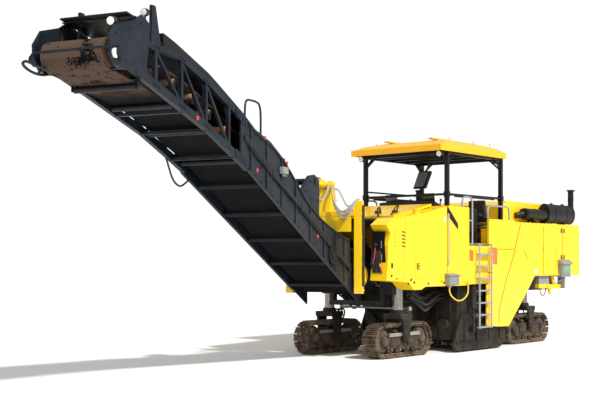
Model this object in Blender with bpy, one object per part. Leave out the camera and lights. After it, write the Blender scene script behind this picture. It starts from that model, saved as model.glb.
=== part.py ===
"""Large cold planer milling machine: tracked chassis, milling drum, slewing discharge conveyor.

Metres, +X forward (discharge end), +Y left, +Z up, ground at z = 0.
"""
import bpy
import math
from mathutils import Matrix, Vector

# ---------------------------------------------------------------- overall sizes
ORIGIN_X = 0.362           # shifts the machine so that its box stands centred on x = 0
ORIGIN_Y = 0.669           # same for y
HALF_WIDTH = 1.15          # outer faces of tanks and rear body
FRONT_X = 0.20             # front edge of the side tanks
REAR_X = -6.92             # rear face
GAP = 0.0003               # fit between touching pieces
END_GAP = 0.0007            # ends of hoses in front of their sockets
FIT = 0.0003               # rods and shafts in their bores, measured at the corners of the shaft

# ---------------------------------------------------------------- tracks
TRACK_FRONT_X = -0.69
TRACK_REAR_X = -5.15
TRACK_Y = 0.76
TRACK_R = 0.30             # half height of a track
TRACK_FLAT = 1.12          # length of the straight run
TRACK_W = 0.30             # shoe width
SHOE_COUNT = 29
SHOE_T = 0.045             # pad thickness
CHAIN_T = 0.035            # chain thickness under the pads
ROLLER_R = 0.075
PIN_Z = 0.34               # pin that holds the track in its yoke
YOKE_TOP_Z = 0.76
COLUMN_R = 0.09
SOCKET_R = 0.14
SOCKET_Z0 = 1.20
SOCKET_Z1 = 1.95
COLUMN_TOP_Z = 1.80
TIE_ARM = 0.36             # steering arm behind the column
TIE_PIN_R = 0.015

# ---------------------------------------------------------------- main frame
BEAM_Y0 = 0.50
BEAM_Y1 = 0.62
BEAM_Z0 = 1.06
BEAM_Z1 = 1.34

# ---------------------------------------------------------------- milling gear
DRUM_X = -2.90
DRUM_Z = 0.545
DRUM_R = 0.43              # drum shell
PICK_R = 0.505             # circle of the tool holders
DRUM_HALF = 0.985
SHAFT_R = 0.15
HOUSE_X0 = -3.62
HOUSE_X1 = -2.16
HOUSE_Y = 1.05
HOUSE_TOP = 1.20
HOUSE_T = 0.03
PLATE_X0 = -3.82
PLATE_X1 = -1.96
PLATE_Z0 = 0.03
PLATE_Z1 = 0.70
PLATE_Y0 = 1.058
PLATE_Y1 = 1.100
LIFT_CYL_X = -2.53
LIFT_CYL_Y = 1.165
GATE_HINGE_Z = 1.08

# ---------------------------------------------------------------- body
TANK_Y0 = 0.82
TANK_TOP_FRONT = 2.43
TANK_TOP_REAR = 2.66
TANK_REAR_X = -1.68
DECK_Z = 1.95              # operator's floor
PAD_X = -2.80              # raised pad in the floor
PAD_T = 0.012
REAR_PAD_X = -6.50
CAB_REAR_X = -4.12
REAR_TOP = 2.43
REAR_BOTTOM = 1.37
HOOD_TOP = 2.87
HOOD_REAR_X = -6.10
HOOD_PIN_R = 0.022
SKIN = 0.03
REAR_DOOR_X = -5.90        # free edge of the rear side doors
BOX_X = -6.14              # rear control boxes
LEVEL_X = -1.76            # levelling boxes

# ---------------------------------------------------------------- canopy
POST_FRONT_X = -2.02
POST_REAR_X = -3.96
POST_Y = 0.92
POST_W = 0.07
ROOF_Z = 3.70
ROOF_RISE = 0.27
ROOF_X0 = -3.98
ROOF_X1 = -1.70
ROOF_Y = 1.00

# ---------------------------------------------------------------- discharge conveyor
SLEW_X = 0.266
SLEW_DEG = 16.4
CONV_HALF = 0.51
CONV_PLATE = 0.02
TAIL_S = -0.18
TAIL_Z = 0.91
KINK_S = 4.80              # where the lower chord bends
KINK_HALF = 0.50           # half length of the bend's chamfer
LOWER_SLOPE = 0.4505
UPPER_SLOPE = 0.272
CHORD_END_S = 7.10
CHORD_PROFILE = ((TAIL_S, 0.56), (0.31, 0.50), (0.36, 0.86), (0.90, 0.72), (1.65, 0.60), (2.20, 0.60),
                 (2.95, 0.76),
                 (3.45, 0.76), (3.95, 0.66), (6.00, 0.66), (CHORD_END_S, 0.41))
COVER_S = 2.95
COVER_PROFILE = ((COVER_S, 0.80), (3.45, 0.80), (3.95, 0.70), (5.10, 0.74), (6.10, 0.75), (6.50, 0.73),
                 (CHORD_END_S, 0.66))
TRUSS_S = 4.40             # side plates end and the truss begins
HEAD_S = 7.36
HEAD_R = 0.16
HEAD_UP = 0.08             # head pulley over the lower chord
BELT_UP = 0.27             # belt's middle over the lower chord
BELT_DROP_S = 5.90         # from here the belt comes down to the head pulley
BELT_T = 0.016
BELT_HALF = 0.40
TAIL_PULLEY_S = 0.10
TILT_S = 0.12
TILT_Z = 1.42
CONSOLE_HALF = 0.69
STRIP_S0 = 0.17            # posts of the console
STRIP_S1 = 0.29
BEARING_Z = 2.40
SLEW_PIN_R = 0.07
TRUNNION_R = 0.045
LIFT_PIN_R = 0.020
MAST_Z = 2.98              # pin of the lift cylinder on the mast
LIFT_A_S = 0.10
LIFT_B_S = 1.80
LIFT_B_Z = 2.90
LINK_FIT = 0.008           # play of the rod's eye on its pin


def interpolated(table, s):
    """Value at s on a line of points."""
    for (s0, v0), (s1, v1) in zip(table, table[1:]):
        if s <= s1:
            return v0 + (v1 - v0) * (s - s0) / (s1 - s0)
    (s0, v0), (s1, v1) = table[-2:]
    return v0 + (v1 - v0) * (s - s0) / (s1 - s0)


KINK_Z = TAIL_Z + LOWER_SLOPE * (KINK_S - TAIL_S)
LOWER_PROFILE = ((TAIL_S, TAIL_Z), (KINK_S - KINK_HALF, KINK_Z - LOWER_SLOPE * KINK_HALF),
                 (KINK_S + KINK_HALF, KINK_Z + UPPER_SLOPE * KINK_HALF),
                 (CHORD_END_S, KINK_Z + UPPER_SLOPE * (CHORD_END_S - KINK_S)))


def lower_z(s):
    """Height of the lower chord at the distance s from the slewing axis."""
    return interpolated(LOWER_PROFILE, s)


def chord_height(s):
    """Height of the upper chord over the lower one."""
    return interpolated(CHORD_PROFILE, s)


def belt_up(s):
    """Height of the belt's middle over the lower chord."""
    return BELT_UP - (BELT_UP - HEAD_UP) * max(0.0, s - BELT_DROP_S) / (HEAD_S - BELT_DROP_S)


def stations(s0, s1):
    """Ends and all bends of the chords, the cover and the belt between two distances."""
    bends = {s for table in (LOWER_PROFILE, CHORD_PROFILE, COVER_PROFILE) for s, _ in table}
    bends.add(BELT_DROP_S)
    return [s0] + sorted(s for s in bends if s0 + 0.02 < s < s1 - 0.02) + [s1]


def world(x, y, z):
    """Machine coordinates to the frame of the whole object."""
    return Vector((x - ORIGIN_X, y - ORIGIN_Y, z))


MACHINE = Matrix.Translation(world(0.0, 0.0, 0.0))
SLEWED = MACHINE @ Matrix.Translation((SLEW_X, 0.0, 0.0)) @ Matrix.Rotation(math.radians(SLEW_DEG), 4, "Z")

# ---------------------------------------------------------------- materials
COLOURS = {
    "yellow": (0.93, 0.66, 0.02, 0.0, 0.35),
    "black": (0.02, 0.02, 0.022, 0.0, 0.5),
    "truss": (0.05, 0.08, 0.12, 0.0, 0.45),
    "track": (0.12, 0.10, 0.08, 0.6, 0.6),
    "chrome": (0.75, 0.76, 0.78, 1.0, 0.12),
    "grey": (0.45, 0.46, 0.47, 0.6, 0.45),
    "rubber": (0.02, 0.02, 0.02, 0.0, 0.8),
    "steel": (0.25, 0.22, 0.19, 0.8, 0.5),
    "seat": (0.03, 0.03, 0.03, 0.0, 0.7),
    "hose": (0.85, 0.68, 0.03, 0.0, 0.5),
}


def material(slot):
    """One Principled material per slot."""
    found = bpy.data.materials.get(slot)
    if found:
        return found
    made = bpy.data.materials.new(slot)
    made.use_nodes = True
    shader = made.node_tree.nodes["Principled BSDF"]
    r, g, b, metal, rough = COLOURS[slot]
    shader.inputs["Base Color"].default_value = (r, g, b, 1.0)
    shader.inputs["Metallic"].default_value = metal
    shader.inputs["Roughness"].default_value = rough
    return made


# ---------------------------------------------------------------- solids as (verts, faces)
def prism(outline, axis, a, b):
    """Closed outline in the plane across an axis, drawn out from a to b."""
    area = 0.0
    for i in range(len(outline)):
        u0, v0 = outline[i]
        u1, v1 = outline[(i + 1) % len(outline)]
        area += u0 * v1 - u1 * v0
    pts = list(outline) if area > 0 else list(reversed(outline))
    verts = []
    for level in (a, b):
        for u, v in pts:
            if axis == "x":
                verts.append((level, u, v))
            elif axis == "y":
                verts.append((u, level, v))
            else:
                verts.append((u, v, level))
    n = len(pts)
    faces = [tuple(reversed(range(n))), tuple(range(n, 2 * n))]
    for i in range(n):
        j = (i + 1) % n
        faces.append((i, j, n + j, n + i))
    if (axis == "y") != (b < a):
        faces = [tuple(reversed(f)) for f in faces]
    return verts, faces


def brick(x0, x1, y0, y1, z0, z1):
    """Box between two corners."""
    return prism([(x0, y0), (x1, y0), (x1, y1), (x0, y1)], "z", z0, z1)


def sweep(points, radius, sides=10):
    """Round bar along a polyline, with flat ends."""
    pts = [Vector(p) for p in points]
    first = (pts[1] - pts[0]).normalized()
    side = first.orthogonal().normalized()
    verts = []
    count = len(pts)
    for i, p in enumerate(pts):
        before = (p - pts[i - 1]).normalized() if i > 0 else first
        after = (pts[i + 1] - p).normalized() if i < count - 1 else before
        tangent = (before + after).normalized()
        side = (side - tangent * side.dot(tangent)).normalized()
        other = tangent.cross(side)
        stretch = 1.0 / max(0.5, math.sqrt((1.0 + before.dot(after)) / 2.0))
        bend = (after - before)
        bend = bend.normalized() if bend.length > 1e-6 else None
        for k in range(sides):
            a = 2.0 * math.pi * k / sides
            off = side * math.cos(a) * radius + other * math.sin(a) * radius
            if bend is not None:
                flat = bend - tangent * bend.dot(tangent)
                if flat.length > 1e-6:
                    flat.normalize()
                    off += flat * off.dot(flat) * (stretch - 1.0)
            verts.append(tuple(p + off))
    faces = [tuple(reversed(range(sides)))]
    for i in range(count - 1):
        for k in range(sides):
            j = (k + 1) % sides
            faces.append((i * sides + k, i * sides + j, (i + 1) * sides + j, (i + 1) * sides + k))
    faces.append(tuple(range((count - 1) * sides, count * sides)))
    return verts, faces


def rod(p0, p1, radius, sides=20):
    """Straight round bar."""
    return sweep([p0, p1], radius, sides)


def bore(p0, p1, radius, sides=20):
    """Cutter in which a round bar of the same number of sides turns freely."""
    return rod(p0, p1, radius / math.cos(math.pi / sides) + FIT, sides)


def rounded(points, radius, steps=4):
    """Polyline with its inner corners rounded off."""
    pts = [Vector(p) for p in points]
    out = [pts[0]]
    for i in range(1, len(pts) - 1):
        a = pts[i] + (pts[i - 1] - pts[i]).normalized() * radius
        b = pts[i] + (pts[i + 1] - pts[i]).normalized() * radius
        for k in range(steps + 1):
            t = k / steps
            out.append(a * (1 - t) * (1 - t) + pts[i] * 2 * t * (1 - t) + b * t * t)
    out.append(pts[-1])
    return out


def bar(p0, p1, width, depth, up=(0, 0, 1)):
    """Square bar between two points."""
    a, b = Vector(p0), Vector(p1)
    t = (b - a).normalized()
    side = t.cross(Vector(up)).normalized()
    other = side.cross(t)
    verts = []
    for p in (a, b):
        for i, j in ((-1, -1), (1, -1), (1, 1), (-1, 1)):
            verts.append(tuple(p + side * (i * width / 2) + other * (j * depth / 2)))
    faces = [(0, 1, 2, 3), (7, 6, 5, 4)]
    for i in range(4):
        j = (i + 1) % 4
        faces.append((j, i, 4 + i, 4 + j))
    return verts, faces


# ---------------------------------------------------------------- making nodes
def raw_object(name, solid):
    """Plain mesh object from verts and faces, its faces outward."""
    mesh = bpy.data.meshes.new(name)
    mesh.from_pydata([tuple(v) for v in solid[0]], [], solid[1])
    mesh.validate()
    volume = 0.0
    mesh.calc_loop_triangles()
    for tri in mesh.loop_triangles:
        a, b, c = (mesh.vertices[i].co for i in tri.vertices)
        volume += a.dot(b.cross(c))
    if volume < 0:
        mesh.flip_normals()
    ob = bpy.data.objects.new(name, mesh)
    bpy.context.scene.collection.objects.link(ob)
    return ob


def merged(name, solids, operation, base):
    """Base mesh with a set of solids added or taken away."""
    group = bpy.data.collections.new(name + "_set")
    tools = []
    for i, solid in enumerate(solids):
        tool = raw_object(name + "_tool%d" % i, solid)
        bpy.context.scene.collection.objects.unlink(tool)
        group.objects.link(tool)
        tools.append(tool)
    mod = base.modifiers.new("set", "BOOLEAN")
    mod.operation = operation
    mod.solver = "EXACT"
    mod.operand_type = "COLLECTION"
    mod.collection = group
    bpy.context.view_layer.update()
    graph = bpy.context.evaluated_depsgraph_get()
    mesh = bpy.data.meshes.new_from_object(base.evaluated_get(graph))
    base.modifiers.clear()
    base.data = mesh
    for tool in tools:
        bpy.data.objects.remove(tool, do_unlink=True)
    bpy.data.collections.remove(group)


def node(name, slot, adds, cuts=(), frame=None, pivot=None, smooth=False):
    """One named closed body; its origin on the joint axis where it moves."""
    ob = raw_object(name, adds[0])
    if len(adds) > 1:
        merged(name, adds[1:], "UNION", ob)
    if cuts:
        merged(name, cuts, "DIFFERENCE", ob)
    ob.data.transform(frame if frame is not None else MACHINE)
    if pivot is not None:
        ob.data.transform(Matrix.Translation(-Vector(pivot)))
        ob.location = pivot
    ob.data.materials.clear()
    ob.data.materials.append(material(slot))
    ob.data.name = name
    for poly in ob.data.polygons:
        poly.use_smooth = smooth
        poly.material_index = 0
    if smooth:
        ob.data.set_sharp_from_angle(angle=math.radians(35.0))
    return ob


def both(solids):
    """The same solids and their mirror images across the machine."""
    out = list(solids)
    for verts, faces in solids:
        out.append(([(v[0], -v[1], v[2]) for v in verts], [tuple(reversed(f)) for f in faces]))
    return out


def mirrored(solids):
    """Mirror images across the machine."""
    return [([(v[0], -v[1], v[2]) for v in vs], [tuple(reversed(f)) for f in fs]) for vs, fs in solids]


# ---------------------------------------------------------------- tracks
def stadium(radius, flat, count):
    """Points with outward directions along a track's run."""
    length = 2 * flat + 2 * math.pi * radius
    out = []
    for i in range(count):
        d = length * i / count
        if d < flat:
            out.append((-flat / 2 + d, -radius, 0.0, -1.0))
        elif d < flat + math.pi * radius:
            a = (d - flat) / radius - math.pi / 2
            out.append((flat / 2 + radius * math.cos(a), radius * math.sin(a), math.cos(a), math.sin(a)))
        elif d < 2 * flat + math.pi * radius:
            out.append((flat / 2 - (d - flat - math.pi * radius), radius, 0.0, 1.0))
        else:
            a = (d - 2 * flat - math.pi * radius) / radius + math.pi / 2
            out.append((-flat / 2 + radius * math.cos(a), radius * math.sin(a), math.cos(a), math.sin(a)))
    return out


def track_loop():
    """Endless track with its shoes in the outline, round the unit's middle."""
    base_r = TRACK_R - SHOE_T
    steps = SHOE_COUNT * 8
    ring = stadium(base_r, TRACK_FLAT, steps)
    outer = []
    for i, (x, z, nx, nz) in enumerate(ring):
        k = i % 8
        lift = SHOE_T if k in (1, 6) else 0.004
        if k not in (0, 1, 6, 7):
            continue
        outer.append((x + nx * lift, TRACK_R + z + nz * lift))
    inner = []
    for x, z, nx, nz in stadium(base_r - CHAIN_T, TRACK_FLAT, 44):
        inner.append((x, TRACK_R + z))
    half = TRACK_W / 2
    loop = prism(outer, "y", -half, half)
    hole = prism(inner, "y", -half - 0.05, half + 0.05)
    return loop, hole


def track_unit(name, x, y):
    """Track with its wheels and side frame, held by the pin of the yoke."""
    loop, hole = track_loop()
    base = raw_object(name, loop)
    merged(name, [hole], "DIFFERENCE", base)
    half = TRACK_W / 2
    in_r = TRACK_R - SHOE_T - CHAIN_T
    wheel_r = in_r + 0.006
    parts = []
    for end in (-1, 1):
        cx = end * TRACK_FLAT / 2
        parts.append(rod((cx, -0.055, TRACK_R), (cx, 0.055, TRACK_R), wheel_r, 20))
        parts.append(rod((cx, -0.135, TRACK_R), (cx, 0.135, TRACK_R), 0.075, 12))
    for i in range(4):
        cx = -0.36 + 0.24 * i
        parts.append(rod((cx, -0.1, SHOE_T + CHAIN_T + ROLLER_R - 0.004),
                         (cx, 0.1, SHOE_T + CHAIN_T + ROLLER_R - 0.004), ROLLER_R, 12))
    parts.append(prism([(-0.62, 0.25), (-0.5, 0.14), (0.5, 0.14), (0.62, 0.25), (0.62, 0.37), (0.5, 0.44),
                        (-0.5, 0.44), (-0.62, 0.37)], "y", -0.125, 0.125))
    parts.append(rod((0.0, -0.08, 0.50), (0.0, 0.08, 0.50), 0.04, 14))
    parts.append(brick(-0.06, 0.06, -0.03, 0.03, 0.43, 0.5))
    parts.append(brick(-0.05, 0.05, -0.05, 0.05, 0.47, 0.522))
    for end in (-1, 1):
        parts.append(brick(-0.50, 0.50, end * 0.12, end * (half + 0.012), 0.335, 0.435))
    merged(name, parts, "UNION", base)
    pin = rod((0, -0.4, PIN_Z), (0, 0.4, PIN_Z), 0.045 + GAP, 20)
    slot = [brick(-0.14, 0.14, s * 0.1545, s * 0.4, 0.1, 0.6) for s in (1,)]
    slot += [brick(-0.14, 0.14, -0.4, -0.1545, 0.1, 0.6)]
    merged(name, [pin] + slot, "DIFFERENCE", base)
    return base


def finish_node(ob, slot, shift, pivot):
    """Move a made mesh to its place, with its origin on the joint axis."""
    ob.data.transform(Matrix.Translation(shift))
    ob.data.transform(MACHINE)
    ob.data.transform(Matrix.Translation(-Vector(pivot)))
    ob.location = pivot
    ob.data.materials.clear()
    ob.data.materials.append(material(slot))
    for poly in ob.data.polygons:
        poly.use_smooth = True
        poly.material_index = 0
    ob.data.set_sharp_from_angle(angle=math.radians(35.0))
    ob.data.name = ob.name


def leg(name, x, y, front):
    """Lifting column with the yoke that straddles a track, and its steering arm."""
    arm_y0 = TRACK_W / 2 + 0.006
    arm_y1 = arm_y0 + 0.045
    adds = [rod((0, 0, YOKE_TOP_Z - 0.02), (0, 0, COLUMN_TOP_Z), COLUMN_R, 32)]
    adds.append(rod((0, 0, YOKE_TOP_Z - 0.03), (0, 0, YOKE_TOP_Z + 0.05), COLUMN_R + 0.035, 20))
    adds.append(brick(-0.17, 0.17, -arm_y1, arm_y1, YOKE_TOP_Z - 0.10, YOKE_TOP_Z))
    for s in (-1, 1):
        lo, hi = sorted((s * arm_y0, s * arm_y1))
        adds.append(prism([(-0.13, YOKE_TOP_Z - 0.05), (0.13, YOKE_TOP_Z - 0.05), (0.085, PIN_Z - 0.06),
                           (-0.085, PIN_Z - 0.06)], "y", lo, hi))
    adds.append(rod((0, -arm_y1 - 0.012, PIN_Z), (0, arm_y1 + 0.012, PIN_Z), 0.045, 20))
    if front:
        adds.append(prism([(0.0, -0.05), (0.0, 0.05), (-TIE_ARM - 0.04, 0.04), (-TIE_ARM - 0.04, -0.04)],
                          "z", YOKE_TOP_Z + 0.004, YOKE_TOP_Z + 0.034))
    cuts = []
    if front:
        cuts.append(bore((-TIE_ARM, 0, YOKE_TOP_Z - 0.02), (-TIE_ARM, 0, YOKE_TOP_Z + 0.06), TIE_PIN_R, 14))
    frame = MACHINE @ Matrix.Translation((x, y, 0))
    return node(name, "chrome", adds, cuts, frame, world(x, y, YOKE_TOP_Z), smooth=True)


def tracks():
    """Four track units on their lifting columns."""
    for tag, x, y, front in (("front_left", TRACK_FRONT_X, TRACK_Y, True),
                             ("front_right", TRACK_FRONT_X, -TRACK_Y, True),
                             ("rear_left", TRACK_REAR_X, TRACK_Y, False),
                             ("rear_right", TRACK_REAR_X, -TRACK_Y, False)):
        unit = track_unit("track_" + tag, x, y)
        finish_node(unit, "track", (x, y, 0.0), world(x, y, TRACK_R))
        leg("leg_" + tag, x, y, front)


def tie_rod():
    """Rod that joins the two front steering arms behind the columns."""
    x = TRACK_FRONT_X - TIE_ARM
    z = YOKE_TOP_Z + 0.034 + GAP
    adds = [rod((x, -TRACK_Y, z + 0.03), (x, TRACK_Y, z + 0.03), 0.02, 14)]
    for s in (-1, 1):
        adds.append(rod((x, s * TRACK_Y, z), (x, s * TRACK_Y, z + 0.06), 0.038, 20))
        adds.append(rod((x, s * TRACK_Y, z - 0.05), (x, s * TRACK_Y, z + 0.06), TIE_PIN_R, 14))
    node("tie_rod_front", "black", adds, (), None, world(x, TRACK_Y, z), smooth=True)


# ---------------------------------------------------------------- frame
def main_frame():
    """Welded frame with the four column sockets and the slewing bracket."""
    beam = brick(-6.70, -0.55, BEAM_Y0, BEAM_Y1, BEAM_Z0, BEAM_Z1)
    adds = both([beam])
    for x in (TRACK_FRONT_X, TRACK_REAR_X):
        adds += both([rod((x, TRACK_Y, SOCKET_Z0), (x, TRACK_Y, SOCKET_Z1), SOCKET_R, 24),
                      brick(x - 0.13, x + 0.13, BEAM_Y1 - 0.02, TRACK_Y - 0.04, SOCKET_Z0 + 0.005, 1.33),
                      brick(x - 0.02, x + 0.02, BEAM_Y1 - 0.08, TRACK_Y - 0.08, 1.30, SOCKET_Z1 - 0.05)])
    adds.append(brick(-6.68, -6.50, -BEAM_Y1 + 0.01, BEAM_Y1 - 0.01, BEAM_Z0 + 0.01, BEAM_Z1 - 0.01))
    adds.append(brick(-5.00, -4.80, -BEAM_Y1 + 0.01, BEAM_Y1 - 0.01, BEAM_Z0 + 0.01, BEAM_Z1 - 0.01))
    adds.append(brick(-3.95, -3.75, -BEAM_Y1 + 0.01, BEAM_Y1 - 0.01, BEAM_Z0 + 0.01, BEAM_Z1 - 0.01))
    adds += both([brick(-0.62, -0.50, 0.50, 0.78, BEAM_Z0 + 0.02, 2.38)])
    adds.append(brick(-0.63, -0.49, -0.77, 0.77, 2.26, 2.40))
    adds.append(prism([(-0.5, -0.7), (0.20, -0.17), (0.36, -0.17), (0.44, -0.08), (0.44, 0.08), (0.36, 0.17),
                       (0.20, 0.17), (-0.5, 0.7)], "z", BEARING_Z - 0.04, BEARING_Z))
    adds.append(brick(-0.62, -0.50, -0.61, 0.61, 0.88, 0.97))
    adds += both([brick(-0.615, -0.505, 0.52, 0.60, 0.90, 1.2)])
    cuts = []
    for x in (TRACK_FRONT_X, TRACK_REAR_X):
        cuts += both([bore((x, TRACK_Y, 0.95), (x, TRACK_Y, COLUMN_TOP_Z + 0.05), COLUMN_R, 32)])
    cuts.append(bore((SLEW_X, 0, BEARING_Z - 0.2), (SLEW_X, 0, BEARING_Z + 0.2), SLEW_PIN_R, 24))
    node("main_frame", "yellow", adds, cuts, smooth=True)


def drum_housing():
    """Box over the milling drum, open below and to the belt in front."""
    y = HOUSE_Y
    adds = [brick(HOUSE_X0, HOUSE_X1, -y, y, 0.22, HOUSE_TOP)]
    adds += both([brick(-3.3, -2.5, y - 0.3, y, HOUSE_TOP - 0.05, HOUSE_TOP + 0.14)])
    adds += both([brick(-3.60, -2.20, BEAM_Y1 + GAP, 0.80, HOUSE_TOP - 0.02, 1.36)])
    side = [rod((LIFT_CYL_X, LIFT_CYL_Y, 0.80), (LIFT_CYL_X, LIFT_CYL_Y, 1.19), 0.055, 20),
            brick(LIFT_CYL_X - 0.06, LIFT_CYL_X + 0.06, y - 0.02, LIFT_CYL_Y, 1.06, 1.18)]
    adds += both(side)
    cuts = [brick(HOUSE_X0 + HOUSE_T, HOUSE_X1 - HOUSE_T, HOUSE_T - y, y - HOUSE_T, 0.1, HOUSE_TOP - HOUSE_T)]
    cuts.append(brick(HOUSE_X0 - 0.1, HOUSE_X0 + 0.1, -y + 0.06, y - 0.06, 0.1, GATE_HINGE_Z - 0.03))
    cuts.append(brick(HOUSE_X1 - 0.1, HOUSE_X1 + 0.1, -0.47, 0.47, 0.10, 1.02))
    cuts += both([bore((DRUM_X, y - 0.1, DRUM_Z), (DRUM_X, y + 0.1, DRUM_Z), SHAFT_R, 40)])
    cuts += both([rod((LIFT_CYL_X, LIFT_CYL_Y, 0.7), (LIFT_CYL_X, LIFT_CYL_Y, 1.16), 0.024 + FIT, 16)])
    cuts.append(brick(-3.70, -2.00, -BEAM_Y1 - GAP, -BEAM_Y0 + GAP, BEAM_Z0 - GAP, BEAM_Z1 + 0.1))
    cuts.append(brick(-3.70, -2.00, BEAM_Y0 - GAP, BEAM_Y1 + GAP, BEAM_Z0 - GAP, BEAM_Z1 + 0.1))
    node("drum_housing", "black", adds, cuts, smooth=True)


def milling_drum():
    """Drum shell with rows of tool holders wound from both sides."""
    adds = [rod((DRUM_X, -DRUM_HALF, DRUM_Z), (DRUM_X, DRUM_HALF, DRUM_Z), DRUM_R, 32)]
    adds.append(rod((DRUM_X, 0.01 - HOUSE_Y, DRUM_Z), (DRUM_X, HOUSE_Y - 0.01, DRUM_Z), SHAFT_R, 40))
    for side in (-1, 1):
        for i in range(20):
            a = 2 * math.pi * (i * 0.205 + (0.0 if side > 0 else 0.31))
            y = side * (0.04 + i * 0.0475)
            c, s = math.cos(a), math.sin(a)
            p0 = (DRUM_X + c * (DRUM_R - 0.03), y, DRUM_Z + s * (DRUM_R - 0.03))
            p1 = (DRUM_X + c * PICK_R, y, DRUM_Z + s * PICK_R)
            adds.append(bar(p0, p1, 0.045, 0.06, (0, 1, 0)))
    node("milling_drum", "steel", adds, (), None, world(DRUM_X, 0, DRUM_Z), smooth=True)


def side_plates():
    """Edge protection plates that ride on the ground at both sides of the drum."""
    outline = [(PLATE_X1, PLATE_Z0 + 0.12), (PLATE_X1 - 0.09, PLATE_Z0), (PLATE_X0 + 0.20, PLATE_Z0),
               (PLATE_X0, PLATE_Z0 + 0.12), (PLATE_X0, PLATE_Z1 - 0.30), (PLATE_X0 + 0.30, PLATE_Z1),
               (PLATE_X1 - 0.28, PLATE_Z1)]
    for tag, mirror in (("left", False), ("right", True)):
        adds = [prism(outline, "y", PLATE_Y0, PLATE_Y1),
                prism([(PLATE_X1 + 0.0, PLATE_Z0 + 0.12), (PLATE_X1 - 0.09, PLATE_Z0),
                       (PLATE_X0 + 0.20, PLATE_Z0), (PLATE_X0, PLATE_Z0 + 0.12)],
                      "y", PLATE_Y0 + 0.01, PLATE_Y1 + 0.018),
                brick(LIFT_CYL_X - 0.05, LIFT_CYL_X + 0.05, PLATE_Y1 - 0.01, LIFT_CYL_Y + 0.03, 0.36, 0.46),
                rod((LIFT_CYL_X, LIFT_CYL_Y, 0.40), (LIFT_CYL_X, LIFT_CYL_Y, 0.82), 0.024, 16)]
        cuts = []
        if mirror:
            adds = mirrored(adds)
        side = -1 if mirror else 1
        node("side_plate_" + tag, "black", adds, cuts, None,
             world(LIFT_CYL_X, side * LIFT_CYL_Y, 0.40), smooth=True)


def scraper_gate():
    """Blade that closes the housing behind the drum."""
    x = HOUSE_X0 + 0.02
    hz = GATE_HINGE_Z - 0.03 - 0.022 - FIT
    adds = [brick(x - 0.04, x, -0.97, 0.97, 0.06, hz),
            rod((x - 0.02, -0.97, hz), (x - 0.02, 0.97, hz), 0.022, 16),
            brick(x - 0.075, x - 0.03, -0.95, 0.95, 0.30, 0.36),
            brick(x - 0.075, x - 0.03, -0.95, 0.95, 0.70, 0.76),
            brick(x - 0.055, x - 0.03, -0.97, 0.97, 0.05, 0.20)]
    node("scraper_gate", "black", adds, (), None, world(x - 0.02, 0, hz))


# ---------------------------------------------------------------- body
def tanks():
    """Side tanks with the small service door in the left one."""
    y0, y1 = TANK_Y0, HALF_WIDTH
    outline = [(FRONT_X - 0.05, 1.68), (FRONT_X + 0.0, 1.34), (-0.44, 1.30), (-0.60, 1.17), (-0.84, 1.17),
               (-0.97, 1.22), (TANK_REAR_X, 1.22), (TANK_REAR_X, TANK_TOP_REAR - 0.02),
               (-0.50, TANK_TOP_FRONT), (0.0, TANK_TOP_FRONT - 0.04), (FRONT_X, 2.27),
               (FRONT_X - 0.12, 2.13), (FRONT_X - 0.05, 1.93)]
    for tag, mirror in (("left", False), ("right", True)):
        adds = [prism(outline, "y", y0, y1)]
        bore = (TRACK_FRONT_X, TRACK_Y)
        cuts = [rod((bore[0], bore[1], 1.0), (bore[0], bore[1], SOCKET_Z1 + 0.02), SOCKET_R + 0.01, 28)]
        if not mirror:
            cuts.append(brick(-1.45, -0.67 + 0.004, y1 - 0.012, y1 + 0.1, 1.37 - 0.004, 1.75 + 0.004))
        if mirror:
            adds = mirrored(adds)
            cuts = mirrored(cuts)
        node("tank_" + tag, "yellow", adds, cuts)
    hx, hy = -1.43, HALF_WIDTH + 0.006
    door = [brick(-1.43 + 0.002, -0.67, y1 - 0.012 + GAP, y1 + 0.006, 1.37, 1.75)]
    door.append(rod((hx + 0.004, hy, 1.40), (hx + 0.004, hy, 1.72), 0.010, 12))
    door.append(brick(-0.76, -0.72, y1 + 0.004, y1 + 0.022, 1.53, 1.62))
    node("service_door_left", "yellow", door, (), None, world(hx + 0.004, hy, 1.56))


def front_hood():
    """Sloping cover over the belt between the tanks."""
    adds = [prism([(-0.48, 2.4 + GAP), (-0.48, 2.45), (-1.66, 2.70), (-1.66, 2.66), (-0.55, 2.4 + GAP)],
                  "y", -TANK_Y0 + GAP, TANK_Y0 - GAP)]
    adds += both([brick(-1.66, -0.64, TANK_Y0 - 0.03, TANK_Y0 - GAP, 2.1, 2.43)])
    adds.append(brick(-1.66, -1.62, -TANK_Y0 + 0.005, TANK_Y0 - 0.005, 1.98, 2.68))
    node("front_hood", "yellow", adds)


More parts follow.
